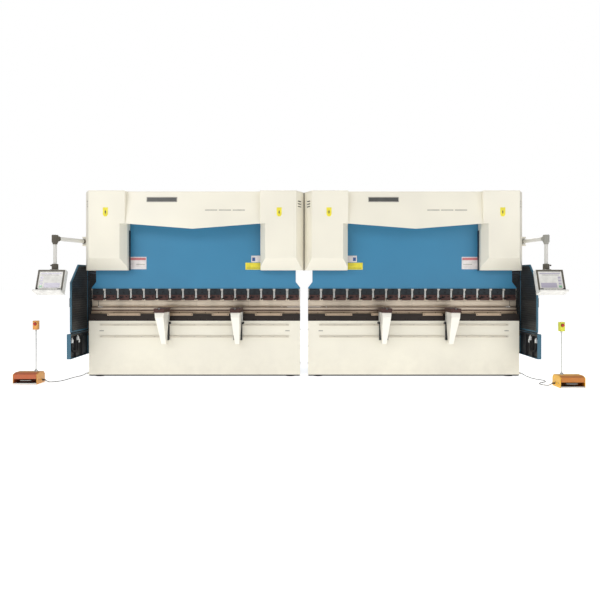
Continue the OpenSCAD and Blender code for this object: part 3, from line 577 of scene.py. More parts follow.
PLATE_GREY = Moulded("nameplate_grey", None, (84, 84, 82), gloss=0.35, grain=0.05)
STRIPE_GREY = Moulded("stripe_grey", None, (176, 172, 162), gloss=0.4, grain=0.03)
PEDAL_AMBER = Paint("pedal_amber_enamel", "pedal_yellow", (214, 148, 56), gloss=0.4, dust=0.1)
PEDAL_YELLOW = Paint("pedal_yellow_enamel", "pedal_yellow", (242, 182, 24), gloss=0.4, dust=0.1)
# Painted shade: darker copies of the amber and the yellow pedal enamel, for the foot switches' mouths and
# brows.
PEDAL_AMBER_SHADE = Paint("pedal_orange_enamel", "pedal_yellow", (190, 92, 44), gloss=0.4, dust=0.1)
PEDAL_YELLOW_SHADE = Paint("pedal_tan_enamel", "pedal_yellow", (196, 116, 22), gloss=0.4, dust=0.1)
STOP_ORANGE = Moulded("stop_case_orange", "stop_yellow", (232, 164, 84), gloss=0.38)
STOP_LIME = Moulded("stop_case_lime", "stop_yellow", (224, 226, 74), gloss=0.38)
ELBOW_GREY = Paint("elbow_enamel", "boom_grey", (150, 148, 140), gloss=0.36)
SCREEN_PALE = Glow("screen_pale", None, (212, 203, 204), light=0.12)
SCREEN_LILAC = Glow("screen_lilac", None, (176, 170, 186), light=0.1)
SCREEN_DARK = Glow("screen_rule", None, (120, 112, 114), light=0.08)
SCREEN_GREEN = Glow("indicator_green", None, (126, 176, 140), light=0.15)


# --------------------------------------------------------------------- shape


def rounded(points: Sequence[Point], radius: float, steps: int = 6) -> list[Vector]:
    """Round the inner corners of a bent line.

    Args:
        points: The line's corners.
        radius: How far from each corner the bend begins.
        steps: How many points make one bend.

    Returns:
        The line with its bends.
    """
    corners = [Vector(p) for p in points]
    line = [corners[0]]
    for before, corner, after in zip(corners, corners[1:], corners[2:]):
        start = corner + (before - corner).normalized() * radius
        stop = corner + (after - corner).normalized() * radius
        for i in range(steps + 1):
            t = i / steps
            line.append(start.lerp(corner, t).lerp(corner.lerp(stop, t), t))
    return [*line, corners[-1]]


def sorted_box(x0: float, x1: float, y0: float, y1: float, z0: float, z1: float) -> tuple[Point, Point]:
    """Give a block's corners where its ends in X may be either way round.

    Args:
        x0: One end in X.
        x1: The other end in X.
        y0: Its lower end in Y.
        y1: Its upper end in Y.
        z0: Its lower end in Z.
        z1: Its upper end in Z.

    Returns:
        Its lowest and its highest corner.
    """
    return (min(x0, x1), y0, z0), (max(x0, x1), y1, z1)


def stood(at: Point, way: Point) -> Matrix:
    """Stand what is made along Z at another point, along another direction."""
    return Matrix.Translation(at) @ Vector(way).to_track_quat("Z", "Y").to_matrix().to_4x4()


def pitched(count: int) -> list[float]:
    """Share out places along one machine's bending length.

    Args:
        count: How many places there are.

    Returns:
        Their distances from the machine's middle.
    """
    pitch = 2 * HALF_LEN / count
    return [(i + 0.5) * pitch - HALF_LEN for i in range(count)]


class Shape:
    """A mesh in the making; each call adds to it and gives it back."""

    def __init__(self) -> None:
        """Start with nothing."""
        self.bm = bmesh.new()
        self.carried = False

    def soften(self, edges: Iterable[bmesh.types.BMEdge], width: float, segments: int = 2) -> None:
        """Round some edges, always in the same order.

        Args:
            edges: The edges to round.
            width: How wide the rounding is.
            segments: How many facets it has.
        """
        self.bm.edges.index_update()
        chosen = sorted(edges, key=lambda e: e.index)
        bmesh.ops.bevel(
            self.bm, geom=chosen, offset=width, offset_type="OFFSET", segments=segments,
            profile=0.5, affect="EDGES", clamp_overlap=True, material=-1,
        )

    def box(self, low: Point, high: Point, edge: float = 0.0, turn: Matrix | None = None) -> "Shape":
        """Add a block.

        Args:
            low: Its lowest corner.
            high: Its highest corner.
            edge: Width of its rounded edges.
            turn: A move for it, after it is made.

        Returns:
            This shape.
        """
        made = bmesh.ops.create_cube(self.bm, size=1.0)["verts"]
        start, stop = Vector(low), Vector(high)
        bmesh.ops.scale(self.bm, vec=stop - start, verts=made)
        bmesh.ops.translate(self.bm, vec=(start + stop) / 2, verts=made)
        if turn is not None:
            bmesh.ops.transform(self.bm, matrix=turn, verts=made)
        if edge:
            self.soften({e for v in made for e in v.link_edges}, edge)
        return self

    def rod(
        self, start: Point, end: Point, radius: float, tip: float | None = None, sides: int = 32,
        edge: float = 0.0,
    ) -> "Shape":
        """Add a round bar or a cone.

        Args:
            start: Middle of its first end.
            end: Middle of its other end.
            radius: Its radius at the first end.
            tip: Its radius at the other end, if it differs.
            sides: How many sides it has.
            edge: Width of its rounded rims.

        Returns:
            This shape.
        """
        first, last = Vector(start), Vector(end)
        along = last - first
        made = bmesh.ops.create_cone(
            self.bm, cap_ends=True, cap_tris=False, segments=sides, radius1=radius,
            radius2=radius if tip is None else tip, depth=along.length,
        )["verts"]
        bmesh.ops.transform(self.bm, matrix=stood((first + last) / 2, along), verts=made)
        if edge:
            caps = {f for v in made for f in v.link_faces if len(f.verts) == sides}
            self.soften({e for f in caps for e in f.edges}, edge)
        return self

    def prism(
        self, outline: Sequence[Flat], axis: Axis, start: float, stop: float, edge: float = 0.0,
    ) -> "Shape":
        """Add a profile drawn out along an axis.

        Args:
            outline: The profile's corners, in order.
            axis: The axis that it is drawn along.
            start: Where it starts on that axis.
            stop: Where it stops on that axis.
            edge: Width of its rounded edges.

        Returns:
            This shape.
        """
        corners = [self.bm.verts.new(axis.point(u, v, start)) for u, v in outline]
        face = self.bm.faces.new(corners)
        made = bmesh.ops.extrude_face_region(self.bm, geom=[face])["geom"]
        far = [v for v in made if isinstance(v, bmesh.types.BMVert)]
        bmesh.ops.translate(self.bm, vec=axis.point(0, 0, stop - start), verts=far)
        if edge:
            self.soften({e for v in [*corners, *far] for e in v.link_edges}, edge)
        return self

    def lathe(self, profile: Sequence[Flat], start: Point, along: Point, steps: int = 36) -> "Shape":
        """Add a turned shape.

        Args:
            profile: Radius and height of each point, from one end to the other.
            start: Where height 0 is.
            along: Direction of its axis.
            steps: How many sides it has.

        Returns:
            This shape.
        """
        before = set(self.bm.verts)
        points = [self.bm.verts.new((r, 0, h)) for r, h in profile]
        lines = [self.bm.edges.new(pair) for pair in zip(points, points[1:])]
        bmesh.ops.spin(
            self.bm, geom=[*points, *lines], cent=(0, 0, 0), axis=UP, dvec=(0, 0, 0),
            angle=math.tau, steps=steps, use_merge=True, use_duplicate=False,
        )
        made = [v for v in self.bm.verts if v not in before]
        bmesh.ops.remove_doubles(self.bm, verts=made, dist=SAME_SPOT)
        made = [v for v in self.bm.verts if v not in before]
        bmesh.ops.transform(self.bm, matrix=stood(start, along), verts=made)
        return self

    def pipe(self, points: Sequence[Point], radius: float, bend: float = 0.05, sides: int = 3) -> "Shape":
        """Add a bent tube.

        Args:
            points: The corners of its middle line.
            radius: Its radius.
            bend: How far from a corner its bend begins.
            sides: Half of its sides, less one.

        Returns:
            This shape.
        """
        curve = bpy.data.curves.new("pipe_line", "CURVE")
        curve.dimensions, curve.bevel_depth, curve.bevel_resolution = "3D", radius, sides
        curve.use_fill_caps = True
        line = rounded(points, bend)
        spline = curve.splines.new("POLY")
        spline.points.add(len(line) - 1)
        for spot, place in zip(spline.points, line):
            spot.co = (*place, 1.0)
        holder = bpy.data.objects.new("pipe_line", curve)
        bpy.context.scene.collection.objects.link(holder)
        solid = bpy.data.meshes.new_from_object(holder.evaluated_get(bpy.context.evaluated_depsgraph_get()))
        self.bm.from_mesh(solid)
        bpy.data.objects.remove(holder)
        bpy.data.curves.remove(curve)
        bpy.data.meshes.remove(solid)
        return self

    def screw(self, at: Point, out: Point, size: float = 0.012, head: Head = Head.SOCKET) -> "Shape":
        """Add a screw's head.

        Args:
            at: Where it sits on its face.
            out: Direction away from that face.
            size: Its thread's diameter.
            head: Which head it has.

        Returns:
            This shape.
        """
        seat, way = Vector(at), Vector(out).normalized()
        if head is Head.HEX:
            self.rod(seat, seat + way * size * 0.15, size * 1.05, sides=16)
            self.rod(seat, seat + way * size * 0.75, size * 0.9, sides=6, edge=size * 0.08)
            return self
        self.rod(seat, seat + way * size * 0.9, size * 0.8, sides=12)
        self.bm.faces.ensure_lookup_table()
        caps = [f for f in self.bm.faces[-14:] if len(f.verts) == 12]
        top = max(caps, key=lambda f: f.calc_center_median().dot(way))
        bmesh.ops.inset_individual(self.bm, faces=[top], thickness=size * 0.32, use_even_offset=True)
        bmesh.ops.translate(self.bm, vec=-way * size * 0.45, verts=list(top.verts))
        return self

    def lattice(self, low: Flat, high: Flat, holes: tuple[int, int], bar: float, thickness: float) -> "Shape":
        """Add a flat sheet of square holes, upright and square to X, with one face at X 0.

        Args:
            low: Its lowest corner in Y and Z.
            high: Its highest corner in Y and Z.
            holes: How many holes it has each way.
            bar: Half of the width left between two holes.
            thickness: Thickness of the sheet.

        Returns:
            This shape.
        """
        grid = bmesh.ops.create_grid(self.bm, x_segments=holes[0], y_segments=holes[1], size=0.5)["verts"]
        size, middle = Vector(high) - Vector(low), (Vector(high) + Vector(low)) / 2
        place = Matrix(((0, 0, 1, 0), (size.x, 0, 0, middle.x), (0, size.y, 0, middle.y), (0, 0, 0, 1)))
        bmesh.ops.transform(self.bm, matrix=place, verts=grid)
        self.bm.faces.index_update()
        cells = sorted({f for v in grid for f in v.link_faces}, key=lambda f: f.index)
        bmesh.ops.inset_individual(self.bm, faces=cells, thickness=bar, use_even_offset=True)
        bmesh.ops.delete(self.bm, geom=cells, context="FACES")
        bmesh.ops.solidify(self.bm, geom=list(self.bm.faces), thickness=thickness)
        return self

    def cut(self, at: Point, out: Point) -> "Shape":
        """Cut away what lies beyond a plane and close the cut.

        Args:
            at: A point on the plane.
            out: Direction of what is cut away.

        Returns:
            This shape.
        """
        everything = [*self.bm.verts, *self.bm.edges, *self.bm.faces]
        made = bmesh.ops.bisect_plane(
            self.bm, geom=everything, dist=SAME_SPOT, plane_co=at, plane_no=out, clear_outer=True,
        )
        rim = [e for e in made["geom_cut"] if isinstance(e, bmesh.types.BMEdge) and e.is_boundary]
        if rim:
            bmesh.ops.holes_fill(self.bm, edges=rim, sides=0)
        return self

    def hollow(self, out: Point, rim: float, depth: float) -> "Shape":
        """Sink the face that looks one way the most, leaving a rim.

        Args:
            out: The way that the face looks.
            rim: Width of the rim.
            depth: How deep it is sunk.

        Returns:
            This shape.
        """
        way = Vector(out).normalized()
        self.bm.normal_update()
        face = max(self.bm.faces, key=lambda f: f.calc_area() * (1.0 if f.normal.dot(way) > 0.98 else 0.0))
        bmesh.ops.inset_individual(self.bm, faces=[face], thickness=rim, use_even_offset=True)
        bmesh.ops.translate(self.bm, vec=-way * depth, verts=list(face.verts))
        return self

    def carry(self, node: str, edge: float = 0.0) -> "Shape":
        """Add a merged copy of a CAD node, with its outer edges rounded.

        Args:
            node: The node's name.
            edge: Width of the rounding.

        Returns:
            This shape.
        """
        self.carried = True
        self.bm.from_mesh(bpy.data.objects[node].data)
        bmesh.ops.remove_doubles(self.bm, verts=self.bm.verts, dist=1e-5)
        bmesh.ops.dissolve_limit(self.bm, angle_limit=FLAT_BELOW, verts=self.bm.verts, edges=self.bm.edges)
        if edge:
            sharp = [
                e for e in self.bm.edges if e.is_manifold and e.calc_face_angle_signed(0.0) > SHARP_ABOVE
            ]
            self.soften(sharp, edge)
        return self

    def piece(
        self, name: str, finish: Finish, body: str = "root", place: Matrix | None = None,
        stands_for: Sequence[str] = (),
    ) -> bpy.types.Object:
        """Make the finished piece and tell the frame about it.

        Args:
            name: The piece's name.
            finish: What it is coated with or made of.
            body: The body that it moves with.
            place: Its move into the line, if it was made around a machine's middle.
            stands_for: CAD nodes that it is shown instead of.

        Returns:
            The piece's object.
        """
        if place is not None:
            bmesh.ops.transform(self.bm, matrix=place, verts=self.bm.verts)
        if not self.carried:
            bmesh.ops.recalc_face_normals(self.bm, faces=self.bm.faces)
        mesh = bpy.data.meshes.new(name)
        self.bm.to_mesh(mesh)
        self.bm.free()
        for left_over in ("custom_normal", "sharp_face"):
            if left_over in mesh.attributes:
                mesh.attributes.remove(mesh.attributes[left_over])
        mesh.shade_smooth()
        mesh.set_sharp_from_angle(angle=SMOOTH_BELOW)
        mesh.materials.append(finish.material())
        made = bpy.data.objects.new(name, mesh)
        bpy.context.scene.collection.objects.link(made)
        shading = made.modifiers.new("even_shading", "WEIGHTED_NORMAL")
        shading.keep_sharp = True
        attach(made, body)
        if stands_for:
            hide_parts(*stands_for)
        log.info("%s: %d faces, on %s, in %s", name, len(mesh.polygons), body, finish.name)
        return made


def carry_over(node: str, finish: Finish, body: str = "root", edge: float = 0.003) -> bpy.types.Object:
    """Show a CAD node as a copy with rounded edges and its own finish.

    Args:
        node: The node's name.
        finish: What it is coated with or made of.
        body: The body that it moves with.
        edge: Width of its rounded edges.

    Returns:
        The new piece.
    """
    return Shape().carry(node, edge).piece(f"{node}_shell", finish, body, stands_for=[node])


@dataclass
class Assembly:
    """A sub-assembly of one machine, shaped around its home and then moved there.

    Attributes:
        side: The machine that it belongs to.
    """

    side: Side

    @property
    def tag(self) -> str:
        """Name of the machine in its nodes and bodies."""
        return self.side.tag

    @property
    def home(self) -> Matrix:
        """Place in the line of what the sub-assembly is shaped around."""
        return self.side.middle

    def put(
        self, shape: Shape, name: str, finish: Finish, body: str = "root", place: Matrix | None = None,
        stands_for: Sequence[str] = (),
    ) -> None:
        """Finish one of the machine's pieces.

        Args:
            shape: The piece's shape.
            name: The piece's name, without the machine's.
            finish: What it is coated with or made of.
            body: The body that it moves with.
            place: Its move into the line, if that isn't the sub-assembly's home.
            stands_for: CAD nodes that it is shown instead of.
        """
        spot = self.home if place is None else place
        shape.piece(f"{self.tag}_{name}", finish, body, spot, stands_for)

    def build(self) -> None:
        """Build the sub-assembly; each kind has its own way."""
        raise NotImplementedError


# -------------------------------------------------------- camera and cables


@dataclass
class Studio:
    """Camera, soft lights, pale sky and pale floor.

    Attributes:
        eye: Where the camera stands.
        lens: Its focal length in millimetres.
        shift: How far its picture is shifted, across and up.
        floor_half: Half the width of the floor.
    """

    eye: Point = (0.0, -9.0, 1.42)
    lens: float = 35.04
    shift: Flat = (-0.0068, -0.0289)
    floor_half: float = 90.0

    def set_camera(self) -> None:
        """Stand the camera in front of the line, level."""
        data = bpy.data.cameras.new("front_camera")
        data.lens, data.sensor_width = self.lens, SENSOR
        data.shift_x, data.shift_y = self.shift
        data.clip_start, data.clip_end = 0.1, 400.0
        camera = bpy.data.objects.new("front_camera", data)
        camera.location = self.eye
        camera.rotation_euler = (math.radians(90), 0, 0)
        bpy.context.scene.collection.objects.link(camera)
        bpy.context.scene.camera = camera

    def set_sky(self) -> None:
        """Light the scene evenly from a pale sky, which the camera sees as white."""
        world = bpy.data.worlds.new("pale_sky")
        world.use_nodes = True
        tree = world.node_tree
        background = tree.nodes["Background"]
        background.inputs["Color"].default_value = (0.985, 0.99, 1.0, 1.0)
        background.inputs["Strength"].default_value = 0.36
        white = tree.nodes.new("ShaderNodeBackground")
        white.inputs["Color"].default_value = (1.0, 1.0, 1.0, 1.0)
        white.inputs["Strength"].default_value = 1.0
        path = tree.nodes.new("ShaderNodeLightPath")
        choice = tree.nodes.new("ShaderNodeMixShader")
        tree.links.new(path.outputs["Is Camera Ray"], choice.inputs[0])
        tree.links.new(background.outputs[0], choice.inputs[1])
        tree.links.new(white.outputs[0], choice.inputs[2])
        tree.links.new(choice.outputs[0], tree.nodes["World Output"].inputs["Surface"])
        bpy.context.scene.world = world
        bpy.context.scene.view_settings.view_transform = "Standard"
        bpy.context.scene.view_settings.look = "None"

    def set_lamp(self, name: str, at: Point, aim: Point, size: Flat, power: float) -> None:
        """Hang one soft lamp.

        Args:
            name: The lamp's name.
            at: Where it hangs.
            aim: The point that it faces.
            size: Its width and height.
            power: Its power in watts.
        """
        data = bpy.data.lights.new(name, "AREA")
        data.shape, data.size, data.size_y, data.energy = "RECTANGLE", size[0], size[1], power
        lamp = bpy.data.objects.new(name, data)
        lamp.location = at
        lamp.rotation_euler = (Vector(aim) - Vector(at)).to_track_quat("-Z", "Y").to_euler()
        lamp.visible_camera = False
        bpy.context.scene.collection.objects.link(lamp)

    def lay_floor(self) -> None:
        """Lay a plain pale floor."""
        bm = bmesh.new()
        bmesh.ops.create_grid(bm, x_segments=1, y_segments=1, size=self.floor_half)
        bmesh.ops.translate(bm, vec=(0, 0, -0.001), verts=bm.verts)
        mesh = bpy.data.meshes.new("floor")
        bm.to_mesh(mesh)
        bm.free()
        recipe = Recipe("pale_floor")
        colour = recipe.tones(recipe.noise(0.4, 2), [(0.3, (246, 246, 246)), (0.7, (250, 250, 250))])
        recipe.constant(Emission_Strength=0.68)
        mesh.materials.append(
            recipe.finish(colour, recipe.span(recipe.noise(2, 2), (0.3, 0.7), (0.55, 0.65)))
        )
        floor = bpy.data.objects.new("floor", mesh)
        bpy.context.scene.collection.objects.link(floor)

    def build(self) -> None:
        """Set up everything around the machines."""
        self.set_camera()
        self.set_sky()
        self.lay_floor()
        middle = (0.0, 0.0, 1.2)
        self.set_lamp("key_lamp", (-7.5, -9.0, 7.0), middle, (7.0, 4.0), 340)
        self.set_lamp("fill_lamp", (8.0, -8.0, 4.5), middle, (6.0, 4.0), 140)
        self.set_lamp("top_lamp", (0.0, -1.0, 9.0), middle, (10.0, 5.0), 215)
        self.set_lamp("rear_lamp", (3.0, 9.0, 6.0), middle, (8.0, 4.0), 260)


@dataclass
class SwitchCable:
    """A foot switch's cable, from its gland on the bed to the foot switch.

    Attributes:
        side: The machine that it belongs to.
        route: The points that it passes, from the foot switch to the gland.
        diameter: Its diameter.
        relief: Length of the tapered strain relief at the foot switch.
    """

    side: Side
    route: list[Point]
    diameter: float = 0.012
    relief: float = 0.045

    def length(self) -> float:
        """Add up the route's length."""
        return sum((Vector(b) - Vector(a)).length for a, b in zip(self.route, self.route[1:]))

    def build(self) -> None:
        """Lay the cable and put its two ends on."""
        name = f"{self.side.tag}_cable_run"
        curve = bpy.data.curves.new(name, "CURVE")
        curve.dimensions, curve.bevel_depth, curve.bevel_resolution = "3D", self.diameter / 2, 3
        curve.use_fill_caps = True
        spline = curve.splines.new("BEZIER")
        spline.bezier_points.add(len(self.route) - 1)
        for knot, point in zip(spline.bezier_points, self.route):
            knot.co = point
            knot.handle_left_type = knot.handle_right_type = "AUTO"
        curve.materials.append(CABLE_GREY.material())
        cable = bpy.data.objects.new(name, curve)
        bpy.context.scene.collection.objects.link(cable)
        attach(cable, "root")
        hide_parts(f"{self.side.tag}_cable")
        start, gland = Vector(self.route[0]), Vector(self.route[-1])
        out = Vector((-self.side.value, 0, 0))
        sleeve = Shape().rod(start - out * 0.004, start + out * self.relief, 0.011, tip=0.0072, sides=24)
        for i in range(4):
            ring = start + out * (0.006 + 0.008 * i)
            sleeve.rod(ring, ring + out * 0.0035, 0.0118 - 0.0006 * i, sides=20, edge=0.0008)
        boot = sleeve.piece(f"{self.side.tag}_cable_boot", BLACK_PLASTIC)
        nut = Shape().rod(gland - out * 0.002, gland + out * 0.012, 0.0165, sides=6, edge=0.0012)
        nut.rod(gland + out * 0.011, gland + out * 0.018, 0.0125, tip=0.0085, sides=24, edge=0.001)
        cap = nut.piece(f"{self.side.tag}_cable_gland_nut", BLACK_PLASTIC)
        round(self.length(), 3)


LEFT_ROUTE: list[Point] = [
    (-3.718, -0.700, 0.040), (-3.690, -0.700, 0.040), (-3.662, -0.698, 0.026), (-3.634, -0.694, 0.012),
    (-3.605, -0.686, 0.007), (-3.577, -0.674, 0.007), (-3.551, -0.658, 0.007), (-3.528, -0.638, 0.007),
    (-3.509, -0.614, 0.007), (-3.494, -0.587, 0.007), (-3.483, -0.558, 0.007), (-3.475, -0.528, 0.007),
    (-3.469, -0.497, 0.007), (-3.464, -0.466, 0.007), (-3.459, -0.435, 0.007), (-3.454, -0.404, 0.007),
    (-3.449, -0.373, 0.007), (-3.444, -0.342, 0.007), (-3.438, -0.311, 0.007), (-3.432, -0.280, 0.007),
    (-3.425, -0.250, 0.007), (-3.416, -0.220, 0.007), (-3.405, -0.192, 0.007), (-3.391, -0.165, 0.008),
    (-3.373, -0.141, 0.012), (-3.352, -0.123, 0.020), (-3.331, -0.113, 0.031), (-3.311, -0.110, 0.042),
    (-3.290, -0.110, 0.042),
]
RIGHT_ROUTE: list[Point] = [
    (3.445, -0.980, 0.040), (3.420, -0.980, 0.040), (3.393, -0.978, 0.026), (3.366, -0.972, 0.012),
    (3.341, -0.960, 0.007), (3.319, -0.941, 0.007), (3.302, -0.917, 0.007), (3.291, -0.889, 0.007),
    (3.287, -0.859, 0.007), (3.291, -0.829, 0.007), (3.302, -0.801, 0.007), (3.319, -0.776, 0.007),
    (3.340, -0.754, 0.007), (3.364, -0.735, 0.007), (3.389, -0.717, 0.007), (3.413, -0.698, 0.007),
    (3.434, -0.676, 0.007), (3.451, -0.650, 0.007), (3.462, -0.621, 0.007), (3.466, -0.590, 0.007),
    (3.463, -0.559, 0.007), (3.454, -0.529, 0.007), (3.440, -0.501, 0.007), (3.423, -0.475, 0.007),
    (3.406, -0.449, 0.007), (3.391, -0.422, 0.007), (3.380, -0.393, 0.007), (3.373, -0.363, 0.007),
    (3.369, -0.332, 0.007), (3.367, -0.301, 0.007), (3.366, -0.270, 0.007), (3.365, -0.239, 0.007),
    (3.363, -0.208, 0.007), (3.359, -0.178, 0.008), (3.351, -0.150, 0.013), (3.337, -0.128, 0.022),
    (3.320, -0.115, 0.034), (3.305, -0.110, 0.042), (3.290, -0.110, 0.042),
]


# ---------------------------------------------------------------------- hood


@dataclass
class Hood(Assembly):
    """Sheet covers over the cylinders, with the panel between them.

    Attributes:
        front: How far the covers stand ahead of the bending line.
        bevel: Width and depth of the bevel on the outer corners.
        vent_z: Height of the middle vent slot.
        label: Half width of a label and the heights of its ends.
        plate: Ends and heights of the blank name plate.
        stripe: Ends and height of the grey stripe.
        panel_foot: Where the leaning middle panel begins, in Y and Z.
        panel_lean: How far the panel goes forward on its whole height.
    """

    front: float = 0.33
    bevel: Flat = (0.11, 0.2)
    vent_z: float = 2.6
    label: Point = (0.038, 2.404, 2.538)
    plate: Area = (-0.7, -0.24, 2.625, 2.705)
    stripe: Point = (0.169, 0.787, 2.504)
    panel_foot: Flat = (-0.328, 2.221)
    panel_lean: Flat = (0.098, 0.561)

    def on_panel(self, x: float, z: float) -> Matrix:
        """Place something made at the origin, facing -Y, on the leaning panel.

        Args:
            x: Its distance from the machine's middle.
            z: Its height.

        Returns:
            Its place around the machine's middle.
        """
        lean = math.atan2(*self.panel_lean)
        foot_y, foot_z = self.panel_foot
        y = foot_y + (z - foot_z) * math.tan(lean)
        return Matrix.Translation((x, y, z)) @ Matrix.Rotation(-lean, 4, "X")

    def add_vents(self) -> None:
        """Put a dark louvre behind the vent slots in each bevel."""
        liner = Shape()
        for end in ENDS:
            wide, deep = self.bevel
            spot = (end * (HOOD_HALF - wide / 2 - 0.016), -self.front + deep / 2 + 0.009, self.vent_z)
            turn = Matrix.Translation(spot) @ Matrix.Rotation(end * math.atan2(deep, wide), 4, "Z")
            liner.box((-0.062, -0.003, -0.066), (0.062, 0.003, 0.066), turn=turn)
            for i in (-1, 0, 1):
                slat = turn @ Matrix.Translation((0, -0.004, i * 0.04 + 0.004)) @ SLAT_TILT
                liner.box((-0.056, -0.006, -0.001), (0.056, 0.006, 0.001), turn=slat)
        self.put(liner, "hood_louvres", BLACK_PLASTIC)

    def add_labels(self) -> None:
        """Stick a plain yellow label with a dark lozenge on each cover."""
        half, low, high = self.label
        sheet, mark = Shape(), Shape()
        for x in (-1.29, 1.29):
            sheet.prism(
                [
                    (x - half, low + 0.03), (x - 0.02, low), (x + 0.02, low), (x + half, low + 0.03),
                    (x + half, high), (x - half, high),
                ],
                Axis.Y, -self.front - 0.0012, -self.front + 0.0005, edge=0.0004,
            )
            middle = (low + high) / 2
            mark.prism(
                [(x - 0.01, middle), (x, middle - 0.036), (x + 0.01, middle), (x, middle + 0.03)],
                Axis.Y, -self.front - 0.002, -self.front - 0.0008,
            )
        self.put(sheet, "hood_labels", LABEL_YELLOW)
        self.put(mark, "hood_label_marks", LABEL_DARK)

    def add_plate(self) -> None:
        """Fix a blank name plate and a grey stripe on the panel."""
        left, right, low, high = self.plate
        width, height = right - left, high - low
        place = self.side.middle @ self.on_panel((left + right) / 2, (low + high) / 2)
        rim = Shape().box((-width / 2, -0.004, -height / 2), (width / 2, 0.0005, height / 2), edge=0.0012)
        rim.hollow(AHEAD, 0.01, 0.0015)
        self.put(rim, "hood_plate_rim", STRIPE_GREY, place=place)
        blank = Shape().box(
            (-width / 2 + 0.01, -0.003, -height / 2 + 0.01), (width / 2 - 0.01, -0.0018, height / 2 - 0.01),
        )
        for x in (-width / 2 + 0.02, width / 2 - 0.02):
            blank.rod((x, -0.0028, 0), (x, -0.005, 0), 0.005, sides=16, edge=0.001)
        self.put(blank, "hood_plate", PLATE_GREY, place=place)
        start, stop, z = self.stripe
        stripe = Shape()
        for i in range(3):
            first = start + (stop - start) * i / 3 + 0.012
            last = start + (stop - start) * (i + 1) / 3 - 0.012
            stripe.box(
                (first - (start + stop) / 2, -0.001, -0.008), (last - (start + stop) / 2, 0.0004, 0.008),
            )
        self.put(
            stripe, "hood_stripe", STRIPE_GREY, place=self.side.middle @ self.on_panel((start + stop) / 2, z),
        )

    def add_screws(self) -> None:
        """Screw the outer walls on."""
        screws = Shape()
        for end in ENDS:
            for y in (-0.05, 0.25):
                for z in (1.72, 2.02, 2.34, 2.7):
                    screws.screw((end * HOOD_HALF, y, z), (end, 0, 0), 0.007)
        self.put(screws, "hood_screws", ZINC)

    def add_linings(self) -> None:
        """Paint shade on the covers' inner walls behind the bevels: dark strips that stand for the shaded gap
        between cover and ram.
        """
        dark_strip = Shape()
        for end in ENDS:
            dark_strip.box(*sorted_box(end * 0.9985, end * 1.004, -0.128, -0.043, COVER_FOOT, 2.215), edge=0.001)
        self.put(dark_strip, "hood_seals", COVER_GAP_SHADE)

    def build(self) -> None:
        """Build the hood."""
        carry_over(f"{self.tag}_column_covers", CREAM, edge=0.004)
        carry_over(f"{self.tag}_centre_panel", CREAM, edge=0.002)
        self.add_vents()
        self.add_labels()
        self.add_plate()
        self.add_screws()
        self.add_linings()


# ------------------------------------------------------------ ram and tooling


@dataclass
class Ram(Assembly):
    """The moving beam with its rods and its plain stickers.

    Attributes:
        face: How far its face stands ahead of the bending line.
        outer_label: Ends and heights of the pale label near the outer end.
        inner_label: Ends and heights of the yellow label near the inner end.
    """

    face: float = 0.04
    outer_label: Area = (0.759, 1.006, 1.626, 1.815)
    inner_label: Area = (-1.04, -0.76, 1.62, 1.726)

    @property
    def body(self) -> str:
        """Name of the body that moves."""
        return f"{self.tag}_ram"

    def sticker(self, name: str, finish: Finish, spot: Area, lift: float = 0.0012) -> None:
        """Stick a flat label on the ram's face.

        Args:
            name: Last part of the piece's name.
            finish: Its colour.
            spot: Its outward ends and its heights.
            lift: How far it stands off the face.
        """
        first, last, low, high = spot
        x = sorted((first * self.side.value, last * self.side.value))
        shape = Shape().box((x[0], -self.face - lift, low), (x[1], -self.face + 0.0004, high), edge=0.0003)
        self.put(shape, f"ram_{name}", finish, self.body)

    def build(self) -> None:
        """Build the ram."""
        tag = self.tag
        carry_over(f"{tag}_ram", BLUE, self.body, 0.004)
        carry_over(f"{tag}_piston_rods", CHROME, self.body, 0.002)
        first, last, low, high = self.outer_label
        self.sticker("label_pale", LABEL_WHITE, self.outer_label)
        self.sticker(
            "label_pale_head", LABEL_RED, (first + 0.008, last - 0.008, high - 0.05, high - 0.012), 0.0018,
        )
        self.sticker(
            "label_pale_foot", STRIPE_GREY, (first + 0.02, last - 0.09, low + 0.07, low + 0.08), 0.0018,
        )
        first, last, low, high = self.inner_label
        self.sticker("label_yellow", LABEL_YELLOW, self.inner_label)
        self.sticker(
            "label_yellow_rule", LABEL_DARK, (first + 0.02, last - 0.02, low + 0.02, low + 0.026), 0.0018,
        )
        self.sticker("label_small", LABEL_WHITE, (first + 0.005, last - 0.09, high + 0.006, high + 0.108))
        self.sticker(
            "label_small_mark", LABEL_BLUE, (last - 0.15, last - 0.105, high + 0.025, high + 0.08), 0.0018,
        )
        bolts = Shape()
        for x in pitched(16):
            bolts.screw((x, -0.059, 1.3135), AHEAD, 0.01)
        for end in ENDS:
            for x, y in ((-0.068, -0.068), (0.068, -0.068), (-0.068, 0.068), (0.068, 0.068)):
                bolts.screw((end * CYLINDER_X + x * 0.9, y * 0.9, 1.725), UP, 0.014)
        self.put(bolts, "ram_bolts", BLACK_SCREW, self.body)


